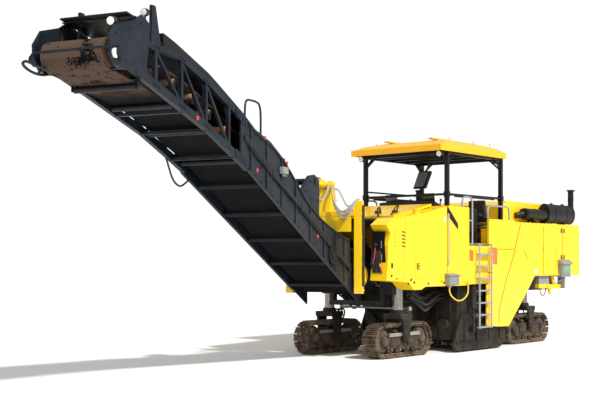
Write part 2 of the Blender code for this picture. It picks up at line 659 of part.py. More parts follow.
def operator_platform():
    """Operator's floor with its side walls; open at the ladders."""
    y = HALF_WIDTH
    x0, x1 = CAB_REAR_X + GAP, TANK_REAR_X - GAP
    adds = [brick(x0, x1, -y, y, DECK_Z - 0.05, DECK_Z)]
    adds += both([brick(-2.40, x1, y - 0.03, y, 1.22, TANK_TOP_REAR - 0.02),
                  brick(x0, -3.12, y - 0.03, y, DECK_Z - 0.02, 2.45),
                  brick(-3.14, -2.38, y - 0.03, y, 1.24, DECK_Z - 0.01),
                  brick(-3.5, -2.1, 0.80, y - 0.01, 1.40, 1.44),
                  brick(-2.12, -2.08, 0.58, y - 0.01, 1.38, DECK_Z - 0.02),
                  brick(-3.50, -3.46, 0.58, y - 0.01, 1.38, DECK_Z - 0.02)])
    adds.append(brick(x0, x0 + 0.03, -y, y, DECK_Z - 0.02, 2.45))
    adds.append(brick(x1 - 0.03, x1, -y, y, DECK_Z - 0.02, 2.66))
    adds += both([brick(-3.6, -2.0, BEAM_Y0 + 0.01, BEAM_Y1 - 0.01, BEAM_Z1 + GAP, DECK_Z - 0.02)])
    adds.append(brick(LEVEL_X - 0.57, LEVEL_X - 0.51, y - 0.01, y + 0.075, 1.24, 1.29))
    adds.append(brick(PAD_X - 0.25, PAD_X + 0.25, -0.25, 0.25, DECK_Z - 0.01, DECK_Z + PAD_T))
    node("operator_platform", "yellow", adds)


def rear_body():
    """Engine bay: skin with an open floor, grille at the back."""
    y = HALF_WIDTH
    outline = [(REAR_X, REAR_BOTTOM), (-4.90, REAR_BOTTOM), (CAB_REAR_X, 2.38), (CAB_REAR_X, REAR_TOP),
               (REAR_X + 0.10, REAR_TOP), (REAR_X, REAR_TOP - 0.03)]
    inside = [(REAR_X + SKIN, REAR_BOTTOM - 0.1), (-4.86, REAR_BOTTOM - 0.1), (-4.20, 2.2),
              (-4.2, REAR_TOP - SKIN),
              (REAR_X + SKIN, REAR_TOP - SKIN)]
    adds = [prism(outline, "y", -y, y),
            brick(REAR_PAD_X - 0.2, REAR_PAD_X + 0.2, -0.3, 0.3, REAR_TOP - 0.01, REAR_TOP + PAD_T)]
    cuts = [prism(inside, "y", -y + SKIN, y - SKIN)]
    cuts.append(brick(-5.95, -4.45, -0.70, 0.70, 2.3, 2.6))
    for i in range(9):
        z = 1.55 + 0.085 * i
        cuts.append(brick(REAR_X - 0.1, REAR_X + 0.1, -0.85, 0.85, z, z + 0.05))
    for s in (-1, 1):
        lo, hi = sorted((s * (y - 0.012), s * (y + 0.1)))
        cuts.append(brick(REAR_DOOR_X - 0.004, -5.28, lo, hi, 1.40 - 0.004, 2.36 + 0.004))
    node("rear_body", "yellow", adds, cuts)
    for tag, s in (("left", 1), ("right", -1)):
        hx, hy = -5.296, s * (y + 0.006)
        lo, hi = sorted((s * (y - 0.012 + GAP), s * (y + 0.006)))
        door = [brick(REAR_DOOR_X, -5.302, lo, hi, 1.40, 2.36),
                rod((hx, hy, 1.45), (hx, hy, 2.31), 0.010, 12)]
        lo, hi = sorted((s * (y + 0.004), s * (y + 0.022)))
        door.append(brick(REAR_DOOR_X + 0.04, REAR_DOOR_X + 0.08, lo, hi, 1.82, 1.94))
        node("rear_door_" + tag, "yellow", door, (), None, world(hx, hy, 1.88))


def engine_group():
    """Engine block, its hood and the exhaust."""
    node("engine_block", "black", [brick(-6.0, -4.5, -0.48, 0.48, BEAM_Z0 + 0.06, 2.2),
                                   brick(-4.78, -4.4, -BEAM_Y0 + GAP, BEAM_Y0 - GAP, 1.15, 1.32),
                                   brick(-6.4, -5.9, -BEAM_Y0 + GAP, BEAM_Y0 - GAP, 1.15, 1.32),
                                   brick(-6.75, -6.55, -0.75, 0.75, BEAM_Z1 + GAP, 2.3),
                                   brick(-6.6, -5.9, -0.2, 0.2, 1.5, 1.9)],
         [brick(-4.80 - 0.2 - GAP, -4.80 + GAP, -0.7, 0.7, 1.0, 1.34 + GAP)])
    base = REAR_TOP + 0.006
    hinge_z = REAR_TOP + HOOD_PIN_R + GAP
    outline = [(HOOD_REAR_X, base), (HOOD_REAR_X, 2.62), (HOOD_REAR_X + 0.28, HOOD_TOP - 0.02),
               (-4.35, HOOD_TOP), (CAB_REAR_X - 0.02, 2.78), (CAB_REAR_X - 0.02, base)]
    inside = [(HOOD_REAR_X + SKIN, base - 0.1), (HOOD_REAR_X + SKIN, 2.60),
              (HOOD_REAR_X + 0.30, HOOD_TOP - 0.05),
              (-4.36, HOOD_TOP - 0.03), (CAB_REAR_X - 0.05, 2.75), (CAB_REAR_X - 0.05, base - 0.1)]
    hood = [prism(outline, "y", -0.86, 0.86)]
    hinge_x = HOOD_REAR_X - 0.015
    hood.append(rod((hinge_x, -0.5, hinge_z), (hinge_x, 0.5, hinge_z), HOOD_PIN_R, 24))
    node("engine_hood", "yellow", hood, [prism(inside, "y", -0.83, 0.83)], None,
         world(HOOD_REAR_X - 0.015, 0, hinge_z))
    y = 0.99
    adds = [rod((-4.75, y, 2.62), (-6.70, y, 2.62), 0.11, 24),
            sweep(rounded([(-6.60, y, 2.62), (-6.84, y, 2.62), (-6.84, y, 3.18)], 0.10), 0.06, 16),
            brick(-5.15, -5.05, y - 0.08, y + 0.08, REAR_TOP + GAP, 2.56),
            brick(-6.45, -6.35, y - 0.08, y + 0.08, REAR_TOP + GAP, 2.56),
            brick(-6.92, -6.77, y - 0.06, y + 0.06, 3.17, 3.20)]
    node("exhaust", "black", adds, (), smooth=True)


def skirts():
    """Slanting panels between platform and rear body, down past the drum."""
    y = HALF_WIDTH
    panel = [(-3.00, 0.45), (-3.00, 1.22), (-3.14, 1.24), (-3.14, DECK_Z - 0.06), (-4.10, DECK_Z - 0.06),
             (-4.42, DECK_Z - 0.06), (-4.89, REAR_BOTTOM - GAP), (-4.58, 1.07), (-3.84, 0.41), (-3.45, 0.42)]
    for tag, mirror in (("left", False), ("right", True)):
        adds = [prism(panel, "y", y + GAP, y + 0.02)]
        if mirror:
            adds = mirrored(adds)
        node("skirt_" + tag, "yellow", adds)


def ladder(tag, mirror):
    """Ladder with the handrails above it, joined by a sill rail."""
    y = HALF_WIDTH + 0.085
    xa, xb = -2.64, -3.08
    adds = []
    for x in (xa, xb):
        adds.append(sweep([(x, y, 0.42), (x, y, 1.98)], 0.018, 8))
    for i in range(7):
        z = 0.44 + 0.225 * i
        adds.append(brick(xb, xa, y - 0.02, y + 0.02, z - 0.012, z + 0.012))
    yr = HALF_WIDTH - 0.06
    adds.append(sweep(rounded([(-2.27, yr, DECK_Z + GAP), (-2.27, yr, 2.85), (-2.62, yr, 2.85),
                               (-2.62, yr, DECK_Z + GAP)], 0.10, 2), 0.018, 8))
    adds.append(sweep(rounded([(-3.18, yr, DECK_Z + GAP), (-3.18, yr, 2.72), (-4.0, yr, 2.72),
                               (-4.0, yr, DECK_Z + GAP)], 0.10, 2), 0.018, 8))
    adds.append(sweep([(-2.27, yr, DECK_Z + 0.035), (-4.0, yr, DECK_Z + 0.035)], 0.016, 6))
    for x in (xa, xb):
        adds.append(sweep([(x, yr, DECK_Z + 0.035), (x, y, DECK_Z + 0.02)], 0.014, 6))
        foot_y = HALF_WIDTH + (GAP if x == xa else 0.02 + GAP)
        adds.append(sweep([(x, foot_y, 1.45), (x, y, 1.45)], 0.014, 6))
    if mirror:
        adds = mirrored(adds)
    node("ladder_" + tag, "grey", adds, (), smooth=True)


def canopy():
    """Four posts with rails, and the roof shell."""
    adds = []
    w = POST_W / 2
    for x in (POST_FRONT_X, POST_REAR_X):
        adds += both([brick(x - w, x + w, POST_Y - w, POST_Y + w, DECK_Z + GAP, ROOF_Z)])
    for z in (2.89,):
        adds += both([brick(POST_REAR_X, POST_FRONT_X, POST_Y - 0.02, POST_Y + 0.02, z - 0.02, z + 0.02)])
        adds.append(brick(POST_FRONT_X - 0.02, POST_FRONT_X + 0.02, -POST_Y, POST_Y, z - 0.02, z + 0.02))
    adds += both([brick(POST_REAR_X, POST_FRONT_X, POST_Y - 0.03, POST_Y + 0.03,
                        ROOF_Z - 0.07, ROOF_Z - 0.001)])
    for x in (POST_FRONT_X, POST_REAR_X):
        adds.append(brick(x - 0.03, x + 0.03, -POST_Y, POST_Y, ROOF_Z - 0.068, ROOF_Z - 0.002))
    node("canopy_frame", "black", adds)
    h = ROOF_Z + GAP
    side = [(ROOF_X0, h), (ROOF_X1, h), (ROOF_X1 + 0.02, h + 0.06), (ROOF_X1 - 0.22, h + 0.15),
            (ROOF_X1 - 0.55, h + 0.22), (-3.2, h + ROOF_RISE), (ROOF_X0 + 0.35, h + 0.20),
            (ROOF_X0 + 0.08, h + 0.13), (ROOF_X0 - 0.02, h + 0.05)]
    cross = [(-ROOF_Y, h - 0.01), (ROOF_Y, h - 0.01), (ROOF_Y + 0.02, h + 0.07), (ROOF_Y - 0.12, h + 0.17),
             (ROOF_Y - 0.35, h + 0.23), (0.0, h + ROOF_RISE + 0.02), (-ROOF_Y + 0.35, h + 0.23),
             (-ROOF_Y + 0.12, h + 0.17), (-ROOF_Y - 0.02, h + 0.07)]
    roof = raw_object("canopy_roof", prism(side, "y", -ROOF_Y - 0.1, ROOF_Y + 0.1))
    merged("canopy_roof", [prism(cross, "x", ROOF_X0 - 0.2, ROOF_X1 + 0.2)], "INTERSECT", roof)
    roof.data.transform(MACHINE)
    roof.data.materials.append(material("yellow"))
    roof.data.name = "canopy_roof"


def cabin():
    """Console and the two seats on the platform."""
    d = DECK_Z + GAP
    node("console", "black", [brick(-2.30, -2.12, -0.12, 0.12, d, 2.62),
                              prism([(-2.45, 2.55), (-2.05, 2.60), (-2.05, 2.78), (-2.40, 2.66)],
                                    "y", -0.62, 0.62)])
    for tag, s in (("left", 1), ("right", -1)):
        y = s * 0.68
        adds = [brick(-3.45, -3.15, y - 0.10, y + 0.10, d, 2.33),
                prism([(-3.52, 2.32), (-3.02, 2.32), (-3.00, 2.40), (-3.05, 2.43), (-3.50, 2.42)],
                      "y", y - 0.21, y + 0.21),
                prism([(-3.50, 2.38), (-3.42, 2.38), (-3.50, 2.86), (-3.58, 2.86)], "y", y - 0.20, y + 0.20)]
        node("seat_" + tag, "seat", adds)


def primary_conveyor():
    """Loading belt from the drum up to the slewing conveyor."""
    x0, z0 = -2.04, 0.42
    x1, z1 = 0.02, 1.86
    d = Vector((x1 - x0, 0, z1 - z0)).normalized()
    n = Vector((-d.z, 0, d.x))
    a, b = Vector((x0, 0, z0)), Vector((x1, 0, z1))

    def at(p, up, along=0.0):
        q = p + n * up + d * along
        return (q.x, q.z)
    side = [at(a, -0.10), at(b, -0.10), at(b, 0.22), at(a, 0.22)]
    adds = both([prism(side, "y", 0.405, 0.430)])
    adds.append(prism([at(a, 0.19, 0.5), at(b, 0.19), at(b, 0.215), at(a, 0.215, 0.5)], "y", -0.42, 0.42))
    for k in (0.35, 1.2, 2.05):
        p = a + d * k
        adds.append(rod((p.x, -0.42, p.z), (p.x, 0.42, p.z), 0.0465, 14))
    adds += both([brick(-1.10, -0.98, 0.42, BEAM_Y0 - GAP, 1.10, 1.30)])
    node("primary_conveyor", "black", adds, (), smooth=True)
    ends = []
    r0 = 0.047
    for p, start in ((a + d * 0.08, 90), (b - d * 0.06, -90)):
        for i in range(9):
            t = math.radians(start + 180 * i / 8)
            ends.append((p, t))
    outer, inner = [], []
    for p, t in ends:
        u = d * math.cos(t) + n * math.sin(t)
        q = p + u * (r0 + 0.018)
        outer.append((q.x, q.z))
        q = p + u * r0
        inner.append((q.x, q.z))
    node("primary_belt", "rubber", [prism(outer, "y", -0.38, 0.38)], [prism(inner, "y", -0.5, 0.5)])


def control_boxes():
    """Outside control boxes with their sensor arms, and the levelling boxes ahead of the ladders."""
    y = HALF_WIDTH
    for tag, mirror in (("left", False), ("right", True)):
        adds = [brick(BOX_X - 0.19, BOX_X + 0.19, y + GAP, y + 0.09, 1.34, 1.62),
                prism([(y + GAP, 1.60), (y + 0.12, 1.60), (y + 0.13, 1.64), (y + GAP, 1.70)],
                      "x", BOX_X - 0.22, BOX_X + 0.22),
                brick(BOX_X - 0.03, BOX_X + 0.03, y - 0.10, y + 0.05, 1.10, REAR_BOTTOM - 0.005),
                brick(BOX_X - 0.02, -5.60, y - 0.12, y - 0.04, 1.10, 1.18),
                brick(-5.66, -5.22, y - 0.14, y - 0.06, 1.12, REAR_BOTTOM - GAP)]
        lower = [brick(LEVEL_X - 0.17, LEVEL_X + 0.17, y + GAP, y + 0.09, 1.235, 1.40),
                 brick(LEVEL_X + 0.06, LEVEL_X + 0.12, y + 0.02, y + 0.07, 1.20, 1.25)]
        node("control_box_" + tag, "black", mirrored(adds) if mirror else adds)
        node("level_box_" + tag, "black", mirrored(lower) if mirror else lower)


# ---------------------------------------------------------------- hoses and cables
def hose(name, slot, points, radius, frame):
    """Free hanging tube through a smooth curve of points."""
    pts = [Vector(p) for p in points]
    pts = [pts[0] * 2 - pts[1]] + pts + [pts[-1] * 2 - pts[-2]]
    fine = []
    steps = 3
    for i in range(1, len(pts) - 2):
        for k in range(steps):
            t = k / steps
            a = (pts[i + 1] - pts[i - 1]) * 0.5
            b = (pts[i + 2] - pts[i]) * 0.5
            fine.append(pts[i] * (2 * t ** 3 - 3 * t ** 2 + 1) + a * (t ** 3 - 2 * t ** 2 + t)
                        + pts[i + 1] * (3 * t ** 2 - 2 * t ** 3) + b * (t ** 3 - t ** 2))
    fine.append(pts[-2])
    curve = bpy.data.curves.new(name, "CURVE")
    curve.dimensions = "3D"
    curve.bevel_depth = radius
    curve.bevel_resolution = 2
    curve.use_fill_caps = True
    spline = curve.splines.new("POLY")
    spline.points.add(len(fine) - 1)
    for point, p in zip(spline.points, fine):
        q = frame @ p
        point.co = (q.x, q.y, q.z, 1.0)
    ob = bpy.data.objects.new(name, curve)
    bpy.context.scene.collection.objects.link(ob)
    curve.materials.append(material(slot))


def hoses():
    """Hoses and the cable that hang free, each from a fixed end to a fixed end."""
    x = LEVEL_X
    y = HALF_WIDTH + 0.045
    hose("hose_level_left", "hose",
         [(x + 0.09, y, 1.20 - END_GAP), (x + 0.09, y, 1.17), (x + 0.088, y, 1.12), (x + 0.05, y + 0.01, 1.05),
          (x - 0.04, y + 0.02, 0.99), (x - 0.16, y + 0.02, 0.955), (x - 0.29, y + 0.02, 0.96),
          (x - 0.42, y + 0.02, 1.01), (x - 0.51, y + 0.01, 1.08), (x - 0.54, y, 1.16), (x - 0.54, y, 1.20),
          (x - 0.54, y, 1.24 - END_GAP)], 0.014, MACHINE)
    yc = HALF_WIDTH - 0.10
    hose("cable_rear_left", "rubber",
         [(-5.57, yc, 1.12 - END_GAP), (-5.57, yc, 1.085), (-5.565, yc, 1.04), (-5.54, yc, 0.995),
          (-5.495, yc, 0.97), (-5.445, yc, 0.965), (-5.39, yc, 0.985), (-5.35, yc, 1.025), (-5.335, yc, 1.08),
          (-5.335, yc, 1.12 - END_GAP)],
         0.009, MACHINE)
    hose("hose_mast", "grey",
         [(0.06, 0.10 + END_GAP, 2.90), (0.06, 0.125, 2.90), (0.06, 0.15, 2.898), (0.065, 0.20, 2.865),
          (0.08, 0.25, 2.79), (0.11, 0.31, 2.69), (0.15, 0.37, 2.615), (0.185, 0.43, 2.59), (0.215, 0.47, 2.60),
          (0.22, 0.505, 2.61), (0.22, 0.53, 2.61), (0.22, CONV_HALF + 0.05 - END_GAP, 2.61)], 0.013, SLEWED)


# ---------------------------------------------------------------- discharge conveyor
def slew_console():
    """Bridge on the slewing bearing, with a post at each side for the conveyor's tail and the mast."""
    h = CONSOLE_HALF
    top = BEARING_Z + 0.10
    adds = [brick(-0.14, STRIP_S1, -0.5, 0.5, BEARING_Z + 0.025, top),
            brick(STRIP_S0, STRIP_S1, 0.02 - h, h - 0.02, BEARING_Z + 0.025, top),
            rod((0, 0, BEARING_Z + GAP), (0, 0, BEARING_Z + 0.05), 0.16, 28),
            rod((0, 0, BEARING_Z - 0.06), (0, 0, BEARING_Z + 0.05), SLEW_PIN_R, 24),
            brick(STRIP_S1 - 0.03, STRIP_S1 - 0.005, -0.5, 0.5, 2.16, BEARING_Z + 0.05)]
    for s in (-1, 1):
        lo, hi = sorted((s * (CONV_HALF + 0.05), s * h))
        adds.append(brick(STRIP_S0, STRIP_S1, lo, hi, 1.12, 2.67))
        adds.append(prism([(TILT_S - 0.10, TILT_Z - 0.10), (STRIP_S0 + 0.02, TILT_Z - 0.20),
                           (STRIP_S0 + 0.02, TILT_Z + 0.20), (TILT_S - 0.10, TILT_Z + 0.10)], "y", lo, hi))
        lo, hi = sorted((s * (CONV_HALF + 0.012), s * (h - 0.01)))
        adds.append(rod((TILT_S, lo, TILT_Z), (TILT_S, hi, TILT_Z), 0.08, 24))
        lo, hi = sorted((s * (CONV_HALF - 0.04), s * (h - 0.01)))
        adds.append(rod((TILT_S, lo, TILT_Z), (TILT_S, hi, TILT_Z), TRUNNION_R, 20))
    adds.append(prism([(-0.12, top - 0.02), (0.24, top - 0.02), (LIFT_A_S + 0.07, MAST_Z + 0.05),
                       (LIFT_A_S - 0.07, MAST_Z + 0.05)], "y", -0.10, 0.10))
    cuts = [brick(LIFT_A_S - 0.10, LIFT_A_S + 0.12, -0.045, 0.045, MAST_Z - 0.09, MAST_Z + 0.1),
            bore((LIFT_A_S, -0.2, MAST_Z), (LIFT_A_S, 0.2, MAST_Z), LIFT_PIN_R, 16)]
    pivot = SLEWED @ Vector((0, 0, BEARING_Z))
    node("slew_console", "yellow", adds, cuts, SLEWED, pivot, smooth=True)


def band(low, high, s0, s1):
    """Closed outline between two heights over the lower chord."""
    line = stations(s0, s1)
    bottom = [(s, lower_z(s) + low(s)) for s in line]
    top = [(s, lower_z(s) + high(s)) for s in line]
    return bottom + list(reversed(top))


def truss(y1):
    """Chords, posts and diagonals of one side and of its mirror image."""
    wide = 0.06
    adds = both([prism(band(lambda s: 0.0, lambda s: 0.11, TRUSS_S - 0.2, CHORD_END_S), "y", y1 - wide, y1),
                 prism(band(lambda s: chord_height(s) - 0.07, chord_height, TRUSS_S - 0.2, CHORD_END_S),
                       "y", y1 - wide, y1)])
    posts = (4.72, 5.34, 5.96, 6.56)
    for s in posts:
        z = lower_z(s)
        top = z + chord_height(s) - 0.03
        adds += both([brick(s - 0.025, s + 0.025, y1 - 0.055, y1 - 0.005, z + 0.05, top)])
    for s0, s1 in zip(posts, posts[1:]):
        adds += both([bar((s0, y1 - 0.03, lower_z(s0) + 0.08),
                          (s1, y1 - 0.03, lower_z(s1) + chord_height(s1) - 0.06), 0.04, 0.035, (0, 1, 0))])
    return adds


def conveyor_frame():
    """Side plates below, trusses above, cross members, tail pulley and the head plates."""
    y1 = CONV_HALF
    y0 = CONV_HALF - CONV_PLATE
    tail_z = lower_z(TAIL_PULLEY_S) + BELT_UP
    adds = both([prism(band(lambda s: 0.0, chord_height, TAIL_S, TRUSS_S), "y", y0, y1)])
    adds.insert(1, rod((TAIL_PULLEY_S, -0.42, tail_z), (TAIL_PULLEY_S, 0.42, tail_z),
                       HEAD_R * 0.98 - GAP, 20))
    adds.insert(1, rod((TAIL_PULLEY_S, 0.01 - y1, tail_z), (TAIL_PULLEY_S, y1 - 0.01, tail_z), 0.035, 12))
    adds += truss(y1)
    head = [(6.80, lower_z(6.80)), (7.10, lower_z(7.10)), (7.26, 3.76), (7.42, 3.78), (7.53, 3.90),
            (7.54, 4.06),
            (7.40, 4.24), (7.05, 4.34), (6.88, 4.44), (6.70, 4.36)]
    adds += both([prism(head, "y", y1 - 0.03, y1)])
    for s in (0.55, 1.35, 2.15, 2.95, 3.75, 4.55, 5.30, 5.90):
        z = lower_z(s) + 0.002
        adds.append(brick(s - 0.03, s + 0.03, -y0 - 0.005, y0 + 0.005, z, z + 0.04))
    foot = [(s, lower_z(s) + chord_height(s) - 0.1) for s in (LIFT_B_S - 0.12, LIFT_B_S + 0.65)]
    bracket = foot + [(LIFT_B_S + 0.26, LIFT_B_Z + 0.07), (LIFT_B_S + 0.06, LIFT_B_Z + 0.10),
                      (LIFT_B_S - 0.12, LIFT_B_Z + 0.02)]
    adds += both([prism(bracket, "y", y1 - 0.05, y1 - 0.001)])
    cuts = both([bore((TILT_S, y0 - 0.05, TILT_Z), (TILT_S, 0.8, TILT_Z), TRUNNION_R, 20)])
    adds.append(rod((LIFT_B_S, 0.03 - y1, LIFT_B_Z), (LIFT_B_S, -0.06, LIFT_B_Z), 0.05, 16))
    adds.append(rod((LIFT_B_S, 0.06, LIFT_B_Z), (LIFT_B_S, y1 - 0.03, LIFT_B_Z), 0.05, 16))
    adds.append(rod((LIFT_B_S, -0.2, LIFT_B_Z), (LIFT_B_S, 0.2, LIFT_B_Z), LIFT_PIN_R, 16))
    hook = [(6.44, lower_z(6.44) + 0.48), (6.68, lower_z(6.68) + 0.42), (6.66, 4.60), (6.58, 4.60)]
    adds += both([prism(hook, "y", y1 - 0.038, y1 - 0.002)])
    hz = lower_z(HEAD_S) + HEAD_UP
    cuts += both([bore((HEAD_S, 0.43, hz), (HEAD_S, 0.60, hz), 0.035, 20)])
    pivot = SLEWED @ Vector((TILT_S, 0, TILT_Z))
    node("conveyor_frame", "truss", adds, cuts, SLEWED, pivot)


def belt_outline(radius):
    """Closed loop at a distance from the belt's centre line, round both pulleys."""
    mid = [(s, lower_z(s) + belt_up(s)) for s in stations(TAIL_PULLEY_S, HEAD_S)]
    normals = []
    for i in range(len(mid)):
        a = mid[max(0, i - 1)]
        b = mid[min(len(mid) - 1, i + 1)]
        length = math.hypot(b[0] - a[0], b[1] - a[1])
        normals.append((-(b[1] - a[1]) / length, (b[0] - a[0]) / length))
    upper = [(m[0] + n[0] * radius, m[1] + n[1] * radius) for m, n in zip(mid, normals)]
    lower = [(m[0] - n[0] * radius, m[1] - n[1] * radius) for m, n in zip(mid, normals)]
    out = list(lower)
    start = math.atan2(-normals[-1][1], -normals[-1][0])
    for i in range(1, 8):
        a = start + math.pi * i / 8
        out.append((mid[-1][0] + radius * math.cos(a), mid[-1][1] + radius * math.sin(a)))
    out += list(reversed(upper))
    start = math.atan2(normals[0][1], normals[0][0])
    for i in range(1, 8):
        a = start + math.pi * i / 8
        out.append((mid[0][0] + radius * math.cos(a), mid[0][1] + radius * math.sin(a)))
    return out


def conveyor_belt():
    """Endless belt over the tail and head pulleys."""
    pivot = SLEWED @ Vector((TILT_S, 0, TILT_Z))
    node("conveyor_belt", "rubber", [prism(belt_outline(HEAD_R + BELT_T), "y", -BELT_HALF, BELT_HALF)],
         [prism(belt_outline(HEAD_R), "y", -0.6, 0.6)], SLEWED, pivot)
    hz = lower_z(HEAD_S) + HEAD_UP
    hub = SLEWED @ Vector((HEAD_S, 0, hz))
    drum = [rod((HEAD_S, -0.41, hz), (HEAD_S, 0.41, hz), HEAD_R - 0.008, 28),
            rod((HEAD_S, -CONV_HALF - 0.03, hz), (HEAD_S, CONV_HALF + 0.03, hz), 0.035, 20)]
    node("head_pulley", "steel", drum, (), SLEWED, hub, smooth=True)


def conveyor_cover():
    """Hood over the belt, open below."""
    def high(s):
        return interpolated(COVER_PROFILE, s)
    half = CONV_HALF - 0.006
    adds = [prism(band(lambda s: chord_height(s) + GAP, high, COVER_S, CHORD_END_S), "y", -half, half)]
    cuts = [prism(band(lambda s: chord_height(s) - 0.1, lambda s: high(s) - 0.02,
                       COVER_S - 0.1, CHORD_END_S + 0.1),
                  "y", 0.02 - half, half - 0.02),
            brick(6.40, CHORD_END_S + 0.1, half - 0.055, half + 0.1, 3.5, 4.7),
            brick(6.40, CHORD_END_S + 0.1, -half - 0.1, 0.055 - half, 3.5, 4.7)]
    node("conveyor_cover", "truss", adds, cuts, SLEWED, SLEWED @ Vector((TILT_S, 0, TILT_Z)))


def lift_cylinder():
    """Hydraulic cylinder from the mast to the conveyor's bracket."""
    a = Vector((LIFT_A_S, 0, MAST_Z))
    b = Vector((LIFT_B_S, 0, LIFT_B_Z))
    d = (b - a).normalized()
    end = a + d * 1.15
    barrel = [rod(tuple(a + d * 0.03), tuple(end), 0.045, 20),
              rod((a.x, -0.036, a.z), (a.x, 0.036, a.z), 0.05, 20),
              rod((a.x, -0.12, a.z), (a.x, 0.12, a.z), LIFT_PIN_R, 16)]
    hollow = [rod(tuple(a + d * 0.22), tuple(end + d * 0.1), 0.022 + FIT, 16)]
    node("lift_barrel", "yellow", barrel, hollow, SLEWED, SLEWED @ a, smooth=True)
    rods = [rod(tuple(a + d * 0.40), tuple(b - d * 0.02), 0.022, 16),
            rod((b.x, -0.036, b.z), (b.x, 0.036, b.z), 0.05, 20)]
    hole = [bore((b.x, -0.1, b.z), (b.x, 0.1, b.z), LIFT_PIN_R + LINK_FIT, 16)]
    node("lift_rod", "chrome", rods, hole, SLEWED, SLEWED @ b, smooth=True)


def build():
    """Whole machine."""
    for ob in list(bpy.data.objects):
        bpy.data.objects.remove(ob, do_unlink=True)
    tracks()
    tie_rod()
    main_frame()
    drum_housing()
    milling_drum()
    side_plates()
    scraper_gate()
    tanks()
    front_hood()
    operator_platform()
    rear_body()
    engine_group()
    skirts()
    ladder("left", False)
    ladder("right", True)
    canopy()
    cabin()
    primary_conveyor()
    control_boxes()
    hoses()
    slew_console()
    conveyor_frame()
    conveyor_belt()
    conveyor_cover()
    lift_cylinder()


build()
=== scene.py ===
"""Looks of the cold planer: lights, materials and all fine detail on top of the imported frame. Metres."""
import math
import random

import bpy
from mathutils import Matrix, Vector


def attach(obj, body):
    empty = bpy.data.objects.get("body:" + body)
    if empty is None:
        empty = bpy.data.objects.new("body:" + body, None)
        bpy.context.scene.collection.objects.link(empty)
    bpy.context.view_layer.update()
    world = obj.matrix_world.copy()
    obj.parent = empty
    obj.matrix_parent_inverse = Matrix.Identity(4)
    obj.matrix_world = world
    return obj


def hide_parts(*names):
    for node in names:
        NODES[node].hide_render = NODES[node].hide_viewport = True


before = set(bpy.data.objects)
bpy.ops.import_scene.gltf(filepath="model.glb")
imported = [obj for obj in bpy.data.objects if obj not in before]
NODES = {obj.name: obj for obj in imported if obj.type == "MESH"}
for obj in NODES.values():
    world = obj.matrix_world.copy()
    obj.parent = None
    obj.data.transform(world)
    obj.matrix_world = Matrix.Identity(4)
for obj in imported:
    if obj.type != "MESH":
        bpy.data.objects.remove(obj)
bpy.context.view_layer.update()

random.seed(7)

# ------------------------------------------------------------------ places
ORIGIN_X, ORIGIN_Y = 0.362, 0.669     # machine coordinates to the row frame
HALF = 1.15                           # outer face of the body
SLEW_X, SLEW = 0.266, math.radians(16.4)
CONV = 0.51                           # conveyor's half width
KINK_Z = 0.91 + 0.4505 * 4.98
LOWER = ((-0.18, 0.91), (4.30, KINK_Z - 0.22525), (5.30, KINK_Z + 0.136), (7.10, KINK_Z + 0.6256))
CHORD = ((-0.18, 0.56), (0.31, 0.50), (0.36, 0.86), (0.90, 0.72), (1.65, 0.60), (2.20, 0.60), (2.95, 0.76),
         (3.45, 0.76), (3.95, 0.66), (6.00, 0.66), (7.10, 0.41))
COVER = ((2.95, 0.80), (3.45, 0.80), (3.95, 0.70), (5.10, 0.74), (6.10, 0.75), (6.50, 0.73), (7.10, 0.66))
TILT = (0.12, 1.42)
HEAD_S = 7.36
TRACKS = {"fl": ("front_left", -0.69, 0.76), "fr": ("front_right", -0.69, -0.76),
          "rl": ("rear_left", -5.15, 0.76), "rr": ("rear_right", -5.15, -0.76)}
DRUM = (-2.90, 0.545)
LEVEL_X = -1.76
LIFT_A = (0.10, 2.98)
BOX_X = -6.14
UP, OUT, FORE = Vector((0, 0, 1)), Vector((0, 1, 0)), Vector((1, 0, 0))


def W(x, y, z):
    """Machine coordinates to the row frame."""
    return Vector((x - ORIGIN_X, y - ORIGIN_Y, z))


MACH = Matrix.Translation(W(0, 0, 0))
ARM = MACH @ Matrix.Translation((SLEW_X, 0, 0)) @ Matrix.Rotation(SLEW, 4, "Z")


def interpolated(table, s):
    for (s0, v0), (s1, v1) in zip(table, table[1:]):
        if s <= s1:
            break
    return v0 + (v1 - v0) * (s - s0) / (s1 - s0)


def lower(s):
    """Lower chord's height at s along the conveyor."""
    return interpolated(LOWER, s)


def upper(s):
    """Upper chord's height."""
    return lower(s) + interpolated(CHORD, s)


def new_object(name, data):
    """Object with this data in the scene."""
    ob = bpy.data.objects.new(name, data)
    bpy.context.scene.collection.objects.link(ob)
    return ob


def aim(ob, direction):
    """Turns a camera or light to look along the direction."""
    ob.rotation_mode = "QUATERNION"
    ob.rotation_quaternion = direction.to_track_quat("-Z", "Y")


# ------------------------------------------------------------------ camera
CAMERA_AT = (15.087, 11.775, 1.65)
CAMERA_BEARING = math.radians(40)
SENSOR_MM, IMAGE_WIDTH, FOCAL_LENGTH = 36.0, 600.0, 1101.0     # the last two in pixels
SHIFT_Y = 0.1033


def camera():
    """Eye-level view from the front left, shifted upwards to frame the raised conveyor."""
    data = bpy.data.cameras.new("camera")
    cam = new_object("camera", data)
    cam.location = W(*CAMERA_AT)
    aim(cam, Vector((-math.cos(CAMERA_BEARING), -math.sin(CAMERA_BEARING), 0.0)))
    data.sensor_width = SENSOR_MM
    data.lens = SENSOR_MM * FOCAL_LENGTH / IMAGE_WIDTH
    data.shift_y = SHIFT_Y
    data.clip_start = 0.1
    data.clip_end = 400
    bpy.context.scene.camera = cam
    bpy.context.scene.view_settings.view_transform = "Standard"


# ------------------------------------------------------------------ pieces
BOX_FACES = ((3, 2, 1, 0), (4, 5, 6, 7), (0, 1, 5, 4), (1, 2, 6, 5), (2, 3, 7, 6), (3, 0, 4, 7))


